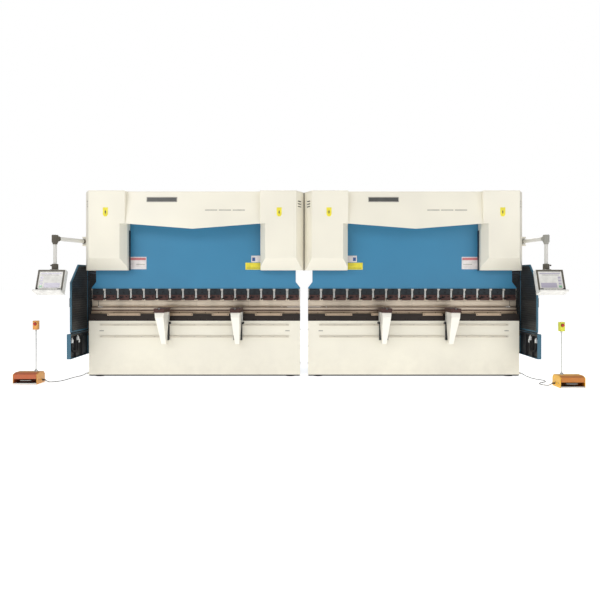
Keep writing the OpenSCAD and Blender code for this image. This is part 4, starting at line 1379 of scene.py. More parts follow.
@dataclass
class Tooling(Assembly):
    """Clamps with their punch, and the die on its rail.

    Attributes:
        count: Number of clamps.
        clamp_half: Half the width of a clamp.
        clamp_z: Lower and upper edge of the clamps.
        wedge: Room that a wedge needs beside a clamp.
        tip_z: Height of the punch's tip with the ram down.
        die_z: Lower and upper face of the die.
        punch_lengths: Lengths of the punch segments, from the outer end.
    """

    count: int = 16
    clamp_half: float = 0.08
    clamp_z: Flat = (1.165, 1.3)
    wedge: float = 0.03
    tip_z: float = 1.049
    die_z: Flat = (0.985, DIE_TOP)
    punch_lengths: list[float] = field(default_factory=lambda: [0.1, 0.7, 0.8, 0.8, 0.8])

    @property
    def body(self) -> str:
        """Name of the body that moves."""
        return f"{self.tag}_ram"

    def add_clamps(self) -> None:
        """Build the clamp bodies, their plates, wedges and screws."""
        low, high = self.clamp_z
        top = high + 0.027
        half = self.clamp_half
        heads, plates, wedges, screws, levers = Shape(), Shape(), Shape(), Shape(), Shape()
        notch = [
            (-0.04, low), (-TONGUE_HALF, low), (-TONGUE_HALF, low + 0.026), (TONGUE_HALF, low + 0.026),
            (TONGUE_HALF, low), (0.03, low), (0.03, high), (-0.04, high),
        ]
        for x in pitched(self.count):
            heads.prism(notch, Axis.X, x - half, x + half, edge=0.0015)
            heads.box((x - half, -0.059, low + 0.073), (x + half, -0.039, top - 0.001), edge=0.003)
            plates.prism(
                [
                    (x - half, low + 0.006), (x - half + 0.016, low - 0.016), (x + half - 0.01, low - 0.016),
                    (x + half, low - 0.004), (x + half, low + 0.068), (x - half, low + 0.068),
                ],
                Axis.Y, -0.062, -0.04, edge=0.0025,
            )
            if x + half + self.wedge < HALF_LEN:
                wedge = [(0.004, low + 0.02), (0.036, low + 0.02), (0.033, high), (0.007, high)]
                wedges.prism([(x + half + u, v) for u, v in wedge], Axis.Y, -0.034, 0.024, edge=0.0015)
            for dx in (-0.045, 0.045):
                screws.screw((x + dx, -0.062, low + 0.042), AHEAD, 0.012)
            screws.screw((x, -0.059, high - 0.03), AHEAD, 0.014, Head.HEX)
            levers.rod(
                (x - 0.01, -0.063, low + 0.036), (x - 0.01, -0.078, low + 0.036), 0.008, sides=16, edge=0.001,
            )
            levers.rod(
                (x - 0.01, -0.074, low + 0.036), (x - 0.074, -0.08, low + 0.012), 0.009, tip=0.0075, sides=12,
            )
            levers.rod(
                (x - 0.07, -0.0796, low + 0.0137), (x - 0.102, -0.0825, low + 0.0018), 0.012, sides=14,
                edge=0.003,
            )
        for end in ENDS:
            last = sorted_box(
                end * (HALF_LEN - 0.017), end * (HALF_LEN - 0.001), -0.036, 0.026, low + 0.02, high,
            )
            wedges.box(*last, edge=0.0015)
        rail = Shape()
        rail.box((-HALF_LEN, -0.05, high), (HALF_LEN, 0.055, top), edge=0.002)
        rail.box((-HALF_LEN, 0.03, low + 0.015), (HALF_LEN, 0.055, high), edge=0.001)
        self.put(rail, "clamp_rail", GUIDE_STEEL, self.body, stands_for=[f"{self.tag}_clamps"])
        self.put(heads, "clamp_heads", CLAMP_BLUEBLACK, self.body)
        self.put(plates, "clamp_plates", CLAMP_BROWN, self.body)
        self.put(wedges, "clamp_wedges", BRIGHT, self.body)
        self.put(screws, "clamp_screws", BLACK_SCREW, self.body)
        self.put(levers, "clamp_levers", BLACK_SCREW, self.body)

    def add_punch(self) -> None:
        """Build the punch, one segment after another."""
        z = self.tip_z
        profile = [
            (0.001, z), (0.014, z + 0.034), (0.014, z + 0.08), (0.022, z + 0.095), (0.022, z + 0.116),
            (0.0065, z + 0.116), (0.0065, z + 0.141), (-0.0065, z + 0.141), (-0.0065, z + 0.116),
            (-0.022, z + 0.116),
            (-0.022, z + 0.095), (-0.014, z + 0.08), (-0.014, z + 0.034), (-0.001, z),
        ]
        punch, seams = Shape(), Shape()
        start = 0.0
        for i, length in enumerate(self.punch_lengths):
            gap = 0.006 if i == 0 else 0.0012
            ends = sorted(self.side.value * (HALF_LEN - s) for s in (start + 0.0002, start + length - gap))
            punch.prism(profile, Axis.X, ends[0], ends[1], edge=0.0005)
            start += length
            if i < len(self.punch_lengths) - 1:
                x = self.side.value * (HALF_LEN - start + gap / 2)
                seams.box((x - gap / 2, -0.012, z + 0.012), (x + gap / 2, 0.012, z + 0.112))
        self.put(punch, "punch_blades", PUNCH_STEEL, self.body, stands_for=[f"{self.tag}_punch"])
        self.put(seams, "punch_seams", BLACK_SCREW, self.body)

    def add_die(self) -> None:
        """Build the four die segments with their vee, and two dark strips along their front: painted shade
        under the top edge, and a dark band near the foot.
        """
        low, high = self.die_z
        profile = [
            (-0.0065, low - 0.02), (0.0065, low - 0.02), (0.0065, low), (0.03, low), (0.03, high),
            (0.012, high),
            (0.0, high - 0.012), (-0.012, high), (-0.03, high), (-0.03, low), (-0.0065, low),
        ]
        die = Shape()
        for i in range(4):
            die.prism(
                profile, Axis.X, i * 0.8 - HALF_LEN + 0.0003, (i + 1) * 0.8 - HALF_LEN - 0.0003, edge=0.0008,
            )
        # The upper strip is painted shade: the dark line where the punch's tip meets the die's top. The lower
        # strip is a dark band near the die's foot.
        shade_and_foot_bands = Shape().box(
            (-HALF_LEN, -0.0308, high - 0.0085), (HALF_LEN, -0.029, high - 0.0008), edge=0.0004,
        )
        shade_and_foot_bands.box((-HALF_LEN, -0.0312, low + 0.004), (HALF_LEN, -0.029, low + 0.022), edge=0.0004)
        self.put(shade_and_foot_bands, "die_bands", CLAMP_BROWN)
        self.put(die, "die_blocks", DIE_STEEL, stands_for=[f"{self.tag}_die"])

    def build(self) -> None:
        """Build the tooling."""
        self.add_clamps()
        self.add_punch()
        self.add_die()


# -------------------------------------------------------------- table and bed


@dataclass
class Table(Assembly):
    """The crowning bar on the bed, with the die rail on it.

    Attributes:
        bar_z: Lower and upper face of the bar.
        front: How far the bar's face stands ahead of the bending line.
        rail_half: Half the depth of the die rail.
        rail_top: Height of the die rail.
        plates: Ends of the pale plates on the bar's face.
    """

    bar_z: Flat = (0.841, TABLE_TOP)
    front: float = 0.14
    rail_half: float = 0.055
    rail_top: float = 0.985
    plates: list[Flat] = field(default_factory=list)

    def build(self) -> None:
        """Build the table."""
        tag = self.tag
        low, high = self.bar_z
        bar = Shape().box((-HALF_LEN, -self.front, low), (HALF_LEN, 0.06, high), edge=0.003)
        bar.box(
            (-HALF_LEN, -self.front, high - 0.001), (HALF_LEN, -self.front + 0.018, high + 0.016), edge=0.003,
        )
        self.put(bar, "crown_bar", TABLE_DARK, stands_for=[f"{tag}_table"])
        half, floor = TONGUE_HALF, self.rail_top - 0.021
        outline = [
            (-self.rail_half, high), (self.rail_half, high), (self.rail_half, self.rail_top),
            (half, self.rail_top),
            (half, floor), (-half, floor), (-half, self.rail_top), (-self.rail_half, self.rail_top),
        ]
        self.put(Shape().prism(outline, Axis.X, -HALF_LEN, HALF_LEN, edge=0.001), "die_rail", RAIL_BRONZE)
        covers, screws, wedges = Shape(), Shape(), Shape()
        for start, stop in self.plates:
            covers.box(
                (start, -self.front - 0.003, high - 0.01), (stop, -self.front + 0.001, high + 0.028),
                edge=0.001,
            )
            for x in (start + 0.02, stop - 0.02):
                screws.screw((x, -self.front - 0.003, high + 0.009), AHEAD, 0.006)
        for x in pitched(16):
            screws.screw((x, -self.front, low + 0.022), AHEAD, 0.01)
            screws.screw((x + 0.05, -self.rail_half, high + 0.028), AHEAD, 0.008)
        for x in pitched(8):
            wedges.box(
                (x - 0.06, -self.front + 0.012, high), (x + 0.06, -self.rail_half - 0.01, high + 0.008),
                edge=0.002,
            )
        self.put(covers, "crown_plates", RAIL_BRONZE)
        self.put(wedges, "crown_keys", BRIGHT)
        self.put(screws, "crown_screws", BLACK_SCREW)


@dataclass
class Bed(Assembly):
    """The welded bed with its small fittings.

    Attributes:
        front: How far the apron stands ahead of the bending line.
        foot_z: Height of its lower edge.
    """

    front: float = 0.15
    foot_z: float = 0.027

    def build(self) -> None:
        """Build the bed."""
        tag = self.tag
        carry_over(f"{tag}_bed", CREAM, edge=0.004)
        fittings, screws = Shape(), Shape()
        middle = sum(RAILS_Z) / 2
        for end in ENDS:
            arrow = sorted_box(
                end * 1.44, end * 1.375, -self.front - 0.001, -self.front, middle - 0.008, middle + 0.008,
            )
            fittings.box(*arrow, edge=0.0004)
            fittings.rod(
                (end * 1.41, -self.front, middle), (end * 1.41, -self.front - 0.0014, middle), 0.01, sides=20,
                edge=0.0004,
            )
        for i in range(15):
            x = -1.4 + i * 0.2
            for z in RAILS_Z:
                screws.screw((x, -self.front - 0.015, z), AHEAD, 0.006)
        self.put(fittings, "bed_index_plates", STRIPE_GREY)
        self.put(screws, "rail_screws", ZINC)
        # A rubber skid under the bed, made deeper than a skid needs so that its dark face also paints the
        # shadow line under the bed's lower edge.
        dark_strip = Shape().box(
            (-HALF_LEN + 0.004, -self.front + 0.002, self.foot_z - 0.017),
            (HALF_LEN - 0.004, 0.056, self.foot_z),
        )
        self.put(dark_strip, "bed_skid", RUBBER)
        jacks = Shape()
        for end in ENDS:
            jacks.screw((end * (HALF_LEN - 0.18), -0.075, self.foot_z), DOWN, 0.02, Head.HEX)
            for z in (0.18, 0.44, 0.7):
                jacks.screw((end * HALF_LEN, 0.03, z), (end, 0, 0), 0.012, Head.HEX)
        self.put(jacks, "bed_bolts", ZINC)


@dataclass
class SupportArm(Assembly):
    """A sheet support arm that slides along the two rails.

    Attributes:
        which: Its letter, a or b.
        top_z: Height of the die, which its top is level with.
        reach: How far it reaches ahead of the bending line.
        half_top: Half the width of its top.
        half_foot: Half the width of its foot.
        foot_z: Height of its foot.
    """

    which: str
    top_z: float = DIE_TOP
    reach: float = 0.56
    half_top: float = 0.075
    half_foot: float = 0.035
    foot_z: float = 0.5

    def place(self) -> Matrix:
        """Find where the arm stands along its rails."""
        low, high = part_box(f"{self.tag}_support_arm_{self.which}")
        return Matrix.Translation(((low.x + high.x) / 2, 0, 0))

    def bracket(self) -> Shape:
        """Shape the white bracket, which narrows towards its foot.

        Returns:
            The bracket's shape, around the arm's own middle.
        """
        top = self.top_z - 0.06
        outline = [(-0.54, top), (-0.54, top - 0.07), (-0.27, self.foot_z), (-0.2, self.foot_z), (-0.2, top)]
        shape = Shape().prism(outline, Axis.X, -1.0, 1.0)
        for vert in shape.bm.verts:
            share = (vert.co.z - self.foot_z) / (top - self.foot_z)
            vert.co.x *= self.half_foot + (self.half_top - 0.008 - self.half_foot) * share
        shape.soften(shape.bm.edges, 0.004)
        return shape

    def build(self) -> None:
        """Build the arm."""
        node = f"{self.tag}_support_arm_{self.which}"
        inner = -self.side.value
        place, top, foot = self.place(), self.top_z, self.top_z - 0.06
        half = self.half_top
        beam = [
            (-half, foot), (half, foot), (half, top), (0.011, top), (0.011, top - 0.008),
            (0.019, top - 0.008),
            (0.019, top - 0.018), (-0.019, top - 0.018), (-0.019, top - 0.008), (-0.011, top - 0.008),
            (-0.011, top), (-half, top),
        ]
        Shape().prism(beam, Axis.Y, -self.reach, -0.155, edge=0.0012).piece(
            f"{node}_beam", CLAMP_BROWN, node, place, stands_for=[node]
        )
        self.bracket().piece(f"{node}_bracket", ARM_WHITE, node, place)
        notches: list[Flat] = [(-0.2, 0.553), (-0.152, 0.553)]
        for z in RAILS_Z:
            notches += [
                (-0.152, z - 0.0128), (-0.1653, z - 0.0128), (-0.1653, z + 0.0128), (-0.152, z + 0.0128),
            ]
        notches += [(-0.152, 0.831), (-0.2, 0.831)]
        slide = Shape().prism(notches, Axis.X, -0.065, 0.065, edge=0.0012)
        slide.box((-0.055, -0.208, 0.6), (0.055, -0.199, 0.784), edge=0.002)
        slide.piece(f"{node}_slide", GUARD_BLACK, node, place)
        grip = Shape()
        grip.rod((inner * 0.06, -0.18, 0.806), (inner * 0.092, -0.18, 0.806), 0.011, sides=20, edge=0.002)
        grip.rod((inner * 0.086, -0.18, 0.806), (inner * 0.092, -0.262, 0.826), 0.0065, tip=0.005, sides=16)
        grip.rod(
            (inner * 0.092, -0.25, 0.823), (inner * 0.0925, -0.282, 0.831), 0.013, tip=0.011, sides=24,
            edge=0.004,
        )
        grip.piece(f"{node}_lever", BLACK_PLASTIC, node, place)
        strip = sorted_box(inner * 0.0668, inner * 0.082, -0.262, -0.232, 0.838, foot - 0.002)
        Shape().box(*strip, edge=0.002).piece(f"{node}_strip", BRIGHT, node, place)
        screws = Shape()
        for z in (0.64, 0.692, 0.744):
            for x in (-0.042, 0.042):
                screws.screw((x, -0.208, z), AHEAD, 0.008)
        for y in (-0.5, -0.36, -0.22):
            screws.screw((0.045, y, top - 0.003), UP, 0.006)
            screws.screw((-0.045, y, top - 0.003), UP, 0.006)
        screws.piece(f"{node}_screws", ZINC, node, place)
        stop = Shape().box((-0.016, -0.54, top - 0.01), (0.016, -0.5, top - 0.001), edge=0.0015)
        stop.piece(f"{node}_stop", BRIGHT, node, place)


# --------------------------------------------------------------- side guards


@dataclass
class SideGuard(Assembly):
    """The guard at the outer end: a lower box, a post, and the door hung on it.

    Attributes:
        x: Distance of its middle plane from the machine's middle.
        post_y: Where the hinge post stands behind the bending line.
        box_z: Lower and upper edge of the box.
        door_y: Front and rear edge of the door.
        door_z: Lower edge, start of the slant, and top of the door.
        slant_y: Where the slant meets the top.
    """

    x: float = 1.7
    post_y: float = 0.075
    box_z: Flat = (0.32, 0.68)
    door_y: Flat = (-0.59, 0.043)
    door_z: Point = (0.7, 1.42, 1.69)
    slant_y: float = -0.306

    @property
    def home(self) -> Matrix:
        """Place of what is given outward from the machine's middle."""
        return self.side.outer_end

    def add_frame(self) -> None:
        """Build the post, its bars and the fixed rear panel."""
        tag, x, y = self.tag, self.x, self.post_y
        low, high = self.box_z[1], self.door_z[2]
        frame = Shape().rod((x, y, low), (x, y, high), 0.02, edge=0.003)
        frame.box((x - 0.015, y, high - 0.11), (x + 0.015, 0.52, high - 0.07), edge=0.003)
        frame.box((FRAME_OUT, 0.49, high - 0.11), (x + 0.015, 0.52, high - 0.07), edge=0.003)
        frame.box((FRAME_OUT, 0.065, low - 0.08), (x, 0.095, low - 0.04), edge=0.003)
        frame.box((x - 0.01, y, 1.0), (x + 0.01, 0.127, 1.04), edge=0.002)
        frame.box((x - 0.02, y, low - 0.04), (x + 0.02, 0.52, low), edge=0.003)
        self.put(frame, "guard_post", GUARD_BLACK, stands_for=[f"{tag}_guard_frame"])
        panel = Shape().box((x + 0.002, 0.125, low), (x + 0.01, 0.52, high - 0.11), edge=0.002)
        for z in (0.9, 1.13, 1.36):
            panel.box((x + 0.009, 0.165, z), (x + 0.015, 0.48, z + 0.03), edge=0.003)
        self.put(panel, "guard_rear_panel", GUARD_BLUE)
        mesh = Shape().lattice((0.135, low + 0.02), (0.512, high - 0.125), (11, 26), 0.01, 0.003)
        self.put(
            mesh, "guard_rear_lattice", GUARD_BLACK, place=self.home @ Matrix.Translation((x - 0.004, 0, 0)),
        )

    def add_box(self) -> None:
        """Build the lower box, blue outside and black inside, with its wiring."""
        x = self.x
        low, high = self.box_z
        shell = Shape().box((x - 0.02, -0.64, low), (x + 0.04, 0.1, high), edge=0.004)
        shell.hollow((-1, 0, 0), 0.006, 0.05)
        self.put(shell, "guard_box", GUARD_BLUE)
        liner = Shape().box((x + 0.014, -0.632, low + 0.008), (x + 0.03, 0.092, high - 0.008), edge=0.003)
        liner.box((x - 0.018, -0.632, high - 0.034), (x + 0.016, 0.092, high - 0.008), edge=0.003)
        for y in (-0.43, -0.18):
            liner.box((x - 0.016, y, low + 0.008), (x + 0.016, y + 0.012, high - 0.03), edge=0.002)
        self.put(liner, "guard_box_liner", GUARD_BLACK)
        plugs = Shape()
        for y, z in ((-0.545, 0.575), (-0.33, 0.6), (-0.3, 0.56)):
            plugs.box((x - 0.014, y - 0.022, z - 0.03), (x + 0.014, y + 0.022, z + 0.022), edge=0.004)
            plugs.rod((x, y, z + 0.02), (x, y, z + 0.044), 0.011, tip=0.008, sides=20, edge=0.0015)
        self.put(plugs, "guard_connectors", WHITE_PLASTIC)
        hose = Shape()
        line = rounded([(x, -0.545, 0.548), (x, -0.545, 0.43), (x, -0.33, 0.4), (x, -0.33, 0.572)], 0.07, 8)
        hose.pipe([tuple(p) for p in line], 0.011, bend=0.002)
        travelled = 0.0
        for before, after in zip(line, line[1:]):
            step = (after - before).length
            way = (after - before).normalized() if step > 1e-6 else Vector(UP)
            spot = (-travelled) % 0.012
            while spot < step:
                middle = before + way * spot
                hose.rod(middle - way * 0.003, middle + way * 0.003, 0.0145, sides=12)
                spot += 0.012
            travelled += step
        self.put(hose, "guard_hose", RUBBER)
        bolts = Shape()
        for y in (-0.6, -0.27, 0.06):
            for z in (low + 0.04, high - 0.04):
                bolts.screw((x + 0.04, y, z), (1, 0, 0), 0.008)
        self.put(bolts, "guard_box_screws", ZINC)

    def add_door(self) -> None:
        """Build the door: a blue tray with a black lattice in it, hinges and a handle."""
        tag, x = self.tag, self.x
        body = f"{tag}_guard_door"
        front, rear = self.door_y
        low, slant, top = self.door_z
        outline = [(rear, low), (front, low), (front, slant), (self.slant_y, top), (rear, top)]
        tray = Shape().prism(outline, Axis.X, x - 0.015, x + 0.015)
        bmesh.ops.recalc_face_normals(tray.bm, faces=tray.bm.faces)
        tray.hollow((-1, 0, 0), 0.022, 0.024)
        tray.soften([e for e in tray.bm.edges if e.calc_face_angle_signed(0.0) > 0.5], 0.003)
        self.put(tray, "door_tray", GUARD_BLUE, body, stands_for=[body])
        backing = Shape().prism(
            [
                (rear - 0.024, low + 0.024), (front + 0.024, low + 0.024), (front + 0.024, slant - 0.01),
                (self.slant_y + 0.012, top - 0.024), (rear - 0.024, top - 0.024),
            ],
            Axis.X, x - 0.0104, x - 0.006,
        )
        self.put(backing, "door_backing", GUARD_HOLES, body)
        grid = Shape().lattice(
            (front + 0.024, low + 0.024), (rear - 0.024, top - 0.024), (18, 28), 0.0105, 0.0012,
        )
        run, rise = self.slant_y - front, top - slant
        normal = Vector((0, -rise, run)).normalized()
        grid.cut((0, front + 0.012, slant - 0.014), tuple(normal))
        self.put(grid, "door_lattice", GUARD_BLACK, body, self.home @ Matrix.Translation((x - 0.0118, 0, 0)))
        hinges = Shape()
        for z in (0.76, 1.45):
            hinges.lathe(
                [
                    (0.0206, 0.0), (0.028, 0.0), (0.03, 0.002), (0.03, 0.078), (0.028, 0.08), (0.0206, 0.08),
                    (0.0206, 0.0),
                ],
                (x, self.post_y, z), UP,
            )
            hinges.box((x - 0.01, rear - 0.006, z), (x + 0.01, self.post_y - 0.024, z + 0.08), edge=0.002)
            for dz in (0.018, 0.062):
                hinges.screw((x - 0.015, rear - 0.016, z + dz), (-1, 0, 0), 0.007)
        self.put(hinges, "door_hinges", BLACK_SCREW, body)
        skirt = Shape().box(
            (x - 0.008, front + 0.006, low - 0.017), (x + 0.008, rear - 0.01, low + 0.004), edge=0.002,
        )
        self.put(skirt, "door_skirt", RUBBER, body)
        grip = [(0.012, 1.06), (0.034, 1.06), (0.034, 1.2), (0.012, 1.2)]
        handle = Shape().pipe([(x + out, -0.54, z) for out, z in grip], 0.006, bend=0.014)
        for z in (1.06, 1.2):
            handle.rod((x + 0.014, -0.54, z), (x + 0.018, -0.54, z), 0.012, sides=20, edge=0.001)
        self.put(handle, "door_handle", BLACK_PLASTIC, body)
        ribs = Shape()
        for z in (0.86, 1.12, 1.38):
            ribs.box((x + 0.0135, front + 0.11, z), (x + 0.0175, rear - 0.06, z + 0.026), edge=0.002)
        self.put(ribs, "door_ribs", GUARD_BLUE, body)

    def build(self) -> None:
        """Build the guard."""
        self.add_frame()
        self.add_box()
        self.add_door()


# ------------------------------------------------------------------ pendants


@dataclass
class Pendant(Assembly):
    """The swinging arm and the control pendant that hangs from it.

    Attributes:
        yaw: How far the arm is swung outwards, in degrees.
        hinge: Where the arm hangs, from the machine's middle.
        length: Length of the arm.
        arm_z: Height of the arm.
        drop_z: Height of the drop tube's lower end.
        width: Width of the pendant.
        height: Height of its face.
        depth: Its thickness.
        tilt: How far its face leans back, in degrees.
        elbow: Finish of the elbow.
        collar: Finish of the collar.
    """

    yaw: float
    elbow: Finish
    collar: Finish
    hinge: Flat = (1.692, -0.05)
    length: float = 0.65
    arm_z: float = 2.05
    drop_z: float = 1.64
    width: float = 0.39
    height: float = 0.32
    depth: float = 0.09
    tilt: float = 20.0

    @property
    def arm_place(self) -> Matrix:
        """Place of the arm, with its hinge at the origin and itself along -Y."""
        turn = Matrix.Rotation(math.radians(self.yaw), 4, "Z")
        return self.side.outer_end @ Matrix.Translation((*self.hinge, 0)) @ turn

    @property
    def head_place(self) -> Matrix:
        """Place of the pendant's face, leaning back, with its top middle at the origin.

        Returns:
            The place in the line.
        """
        drop = Matrix.Translation((0, -self.length, 0)) @ Matrix.Rotation(math.radians(-self.yaw), 4, "Z")
        lean = Matrix.Rotation(math.radians(-self.tilt), 4, "X")
        return self.arm_place @ drop @ Matrix.Translation((0, -0.06, self.drop_z - 0.05)) @ lean

    def add_arm(self) -> None:
        """Build the arm, its elbow and the drop tube."""
        tag, place, z, end = self.tag, self.arm_place, self.arm_z, -self.length
        body = f"{tag}_boom"
        tubes = Shape()
        tubes.lathe(
            [
                (0.0152, -0.0445), (0.031, -0.0445), (0.033, -0.0425), (0.033, 0.0425), (0.031, 0.0445),
                (0.0152, 0.0445), (0.0152, -0.0445),
            ],
            (0, 0, z), UP,
        )
        tubes.rod((0, -0.028, z), (0, end + 0.03, z), 0.03, sides=40)
        tubes.rod((0, end, self.drop_z), (0, end, z - 0.04), 0.025, sides=36)
        tubes.rod((0, end, self.drop_z), (0, end, self.drop_z + 0.012), 0.032, sides=36, edge=0.001)
        self.put(tubes, "boom_tubes", BOOM_LIGHT, body, place, stands_for=[body])
        joint = Shape().rod((0, end, z - 0.06), (0, end, z + 0.05), 0.045, sides=40, edge=0.008)
        joint.rod((0, end + 0.078, z), (0, end + 0.02, z), 0.037, sides=40, edge=0.004)
        joint.rod((0, end, z - 0.084), (0, end, z - 0.055), 0.031, tip=0.036, sides=36, edge=0.002)
        joint.rod((0, -0.03, z), (0, -0.062, z), 0.034, sides=40, edge=0.003)
        self.put(joint, "boom_elbow", self.elbow, body, place)
        screws = Shape()
        for angle in (45, 135, 225, 315):
            spot = Vector((math.cos(math.radians(angle)) * 0.03, math.sin(math.radians(angle)) * 0.03, 0))
            screws.screw(Vector((0, end, z + 0.05)) + spot, UP, 0.005)
        for x in (-1, 1):
            screws.screw((x * 0.037, end + 0.056, z), (x, 0, 0), 0.005)
        self.put(screws, "boom_screws", ZINC, body, place)
        wire = Shape().pipe(
            [
                (0.028, -0.09, z + 0.016), (0.034, -0.12, z + 0.02), (0.034, end + 0.12, z + 0.02),
                (0.028, end + 0.09, z + 0.016),
            ],
            0.0045, bend=0.02,
        )
        for share in (0.2, 0.5, 0.8):
            y = end * share
            wire.box((0.018, y - 0.005, z + 0.008), (0.04, y + 0.005, z + 0.027), edge=0.002)
        self.put(wire, "boom_wire", BLACK_PLASTIC, body, place)

    def add_collar(self) -> None:
        """Build the collar that turns on the drop tube, and the neck below it."""
        tag, place = self.tag, self.arm_place @ Matrix.Translation((0, -self.length, 0))
        body = f"{tag}_pendant"
        top = self.drop_z + 0.0463
        cup = Shape().lathe(
            [
                (0.0, -0.04), (0.043, -0.04), (0.045, -0.037), (0.045, 0.04), (0.042, 0.0463),
                (0.0256, 0.0463), (0.0256, 0.013), (0.033, 0.013), (0.033, -0.0003), (0.0, -0.0003),
            ],
            (0, 0, self.drop_z), UP,
        )
        straight = Matrix.Rotation(math.radians(-self.yaw), 4, "Z")
        cup.box(
            (-0.04, -0.09, self.drop_z - 0.08), (0.04, 0.04, self.drop_z - 0.03), edge=0.006, turn=straight,
        )
        cup.rod((0.043, 0, top - 0.02), (0.062, 0, top - 0.02), 0.005, sides=14)
        cup.rod((0.06, 0, top - 0.02), (0.076, 0, top - 0.02), 0.011, sides=18, edge=0.003)
        self.put(cup, "pendant_collar", self.collar, body, place)

    def add_face(self) -> None:
        """Build the pendant's case, its screen and its keys."""
        tag, place = self.tag, self.head_place
        body = f"{tag}_pendant"
        half, deep, tall = self.width / 2, self.depth / 2, self.height
        case = Shape().box((-half, -deep, -tall), (half, deep, 0), edge=0.007)
        self.put(case, "pendant_case", CASE_PALE, body, place, stands_for=[body])
        bezel = Shape().box(
            (-half + 0.006, -deep - 0.003, -tall + 0.004), (half - 0.006, -deep + 0.004, -0.006), edge=0.002,
        )
        bezel.hollow(AHEAD, 0.04, 0.005)
        self.put(bezel, "pendant_bezel", CASE_TAUPE, body, place)
        face = -deep + 0.002
        self.tile("screen", SCREEN_PALE, (-half + 0.047, -tall + 0.045, half - 0.047, -0.047), face - 0.0015)
        self.tile("screen_header", SCREEN_LILAC, (-half + 0.052, -0.068, half - 0.052, -0.052), face - 0.0022)
        self.tile("screen_rule", SCREEN_DARK, (-half + 0.085, -0.086, half - 0.07, -0.08), face - 0.0022)
        self.tile(
            "screen_field", SCREEN_LILAC, (-half + 0.052, -tall + 0.05, half - 0.118, -tall + 0.12),
            face - 0.0022,
        )
        for i in range(4):
            low = -tall + 0.05 + i * 0.044
            self.tile(
                f"screen_key_{i}", SCREEN_GREEN if i == 0 else SCREEN_LILAC,
                (half - 0.092, low, half - 0.052, low + 0.032), face - 0.0022,
            )
        ledge = Shape().prism(
            [
                (deep, -tall - 0.03), (-0.112, -tall - 0.03), (-0.12, -tall - 0.022), (-0.12, -tall - 0.006),
                (-0.112, -tall), (deep, -tall),
            ],
            Axis.X, -half, half, edge=0.0025,
        )
        self.put(ledge, "pendant_ledge", CASE_PALE, body, place)
        trims = Shape()
        for x in (-0.11, 0.0, 0.11):
            for z in (-0.2, -0.18, -0.16):
                trims.box((x - 0.035, deep, z), (x + 0.035, deep + 0.006, z + 0.008), edge=0.002)
        self.put(trims, "pendant_trims", BLACK_PLASTIC, body, place)
        keys, buttons, knob = Shape(), Shape(), Shape()
        up = Vector(UP)
        for i in range(5):
            spot = Vector((-0.125 + i * 0.042, -0.086, -tall))
            keys.rod(spot, spot + up * 0.004, 0.013, sides=24, edge=0.001)
            buttons.rod(spot + up * 0.003, spot + up * 0.009, 0.009, sides=24, edge=0.002)
        keys.box((-half + 0.012, -0.112, -tall - 0.0005), (-half + 0.05, -0.06, -tall + 0.016), edge=0.003)
        knob_spot = Vector((half - 0.045, -0.086, -tall))
        keys.rod(knob_spot, knob_spot + up * 0.005, 0.02, sides=32, edge=0.001)
        knob.lathe(
            [
                (0.0, 0.026), (0.012, 0.0255), (0.0165, 0.022), (0.017, 0.018), (0.01, 0.014), (0.01, 0.003),
                (0.0, 0.003),
            ],
            tuple(knob_spot), UP,
        )
        self.put(keys, "pendant_key_rings", BLACK_PLASTIC, body, place)
        self.put(buttons, "pendant_keys", CASE_PALE, body, place)
        self.put(knob, "pendant_knob", BLACK_PLASTIC, body, place)

    def tile(self, name: str, finish: Finish, area: Area, front: float) -> None:
        """Lay one field of the screen.

        Args:
            name: Last part of the piece's name.
            finish: Its colour.
            area: Its lower left and upper right corner on the face.
            front: How far its front stands ahead of the face's middle plane.
        """
        x0, z0, x1, z1 = area
        shape = Shape().box((x0, front, z0), (x1, front + 0.0012, z1), edge=0.0003)
        self.put(shape, f"pendant_{name}", finish, f"{self.tag}_pendant", self.head_place)

    def build(self) -> None:
        """Build the arm and the pendant."""
        self.add_arm()
        self.add_collar()
        self.add_face()


# -------------------------------------------------------------- foot switches


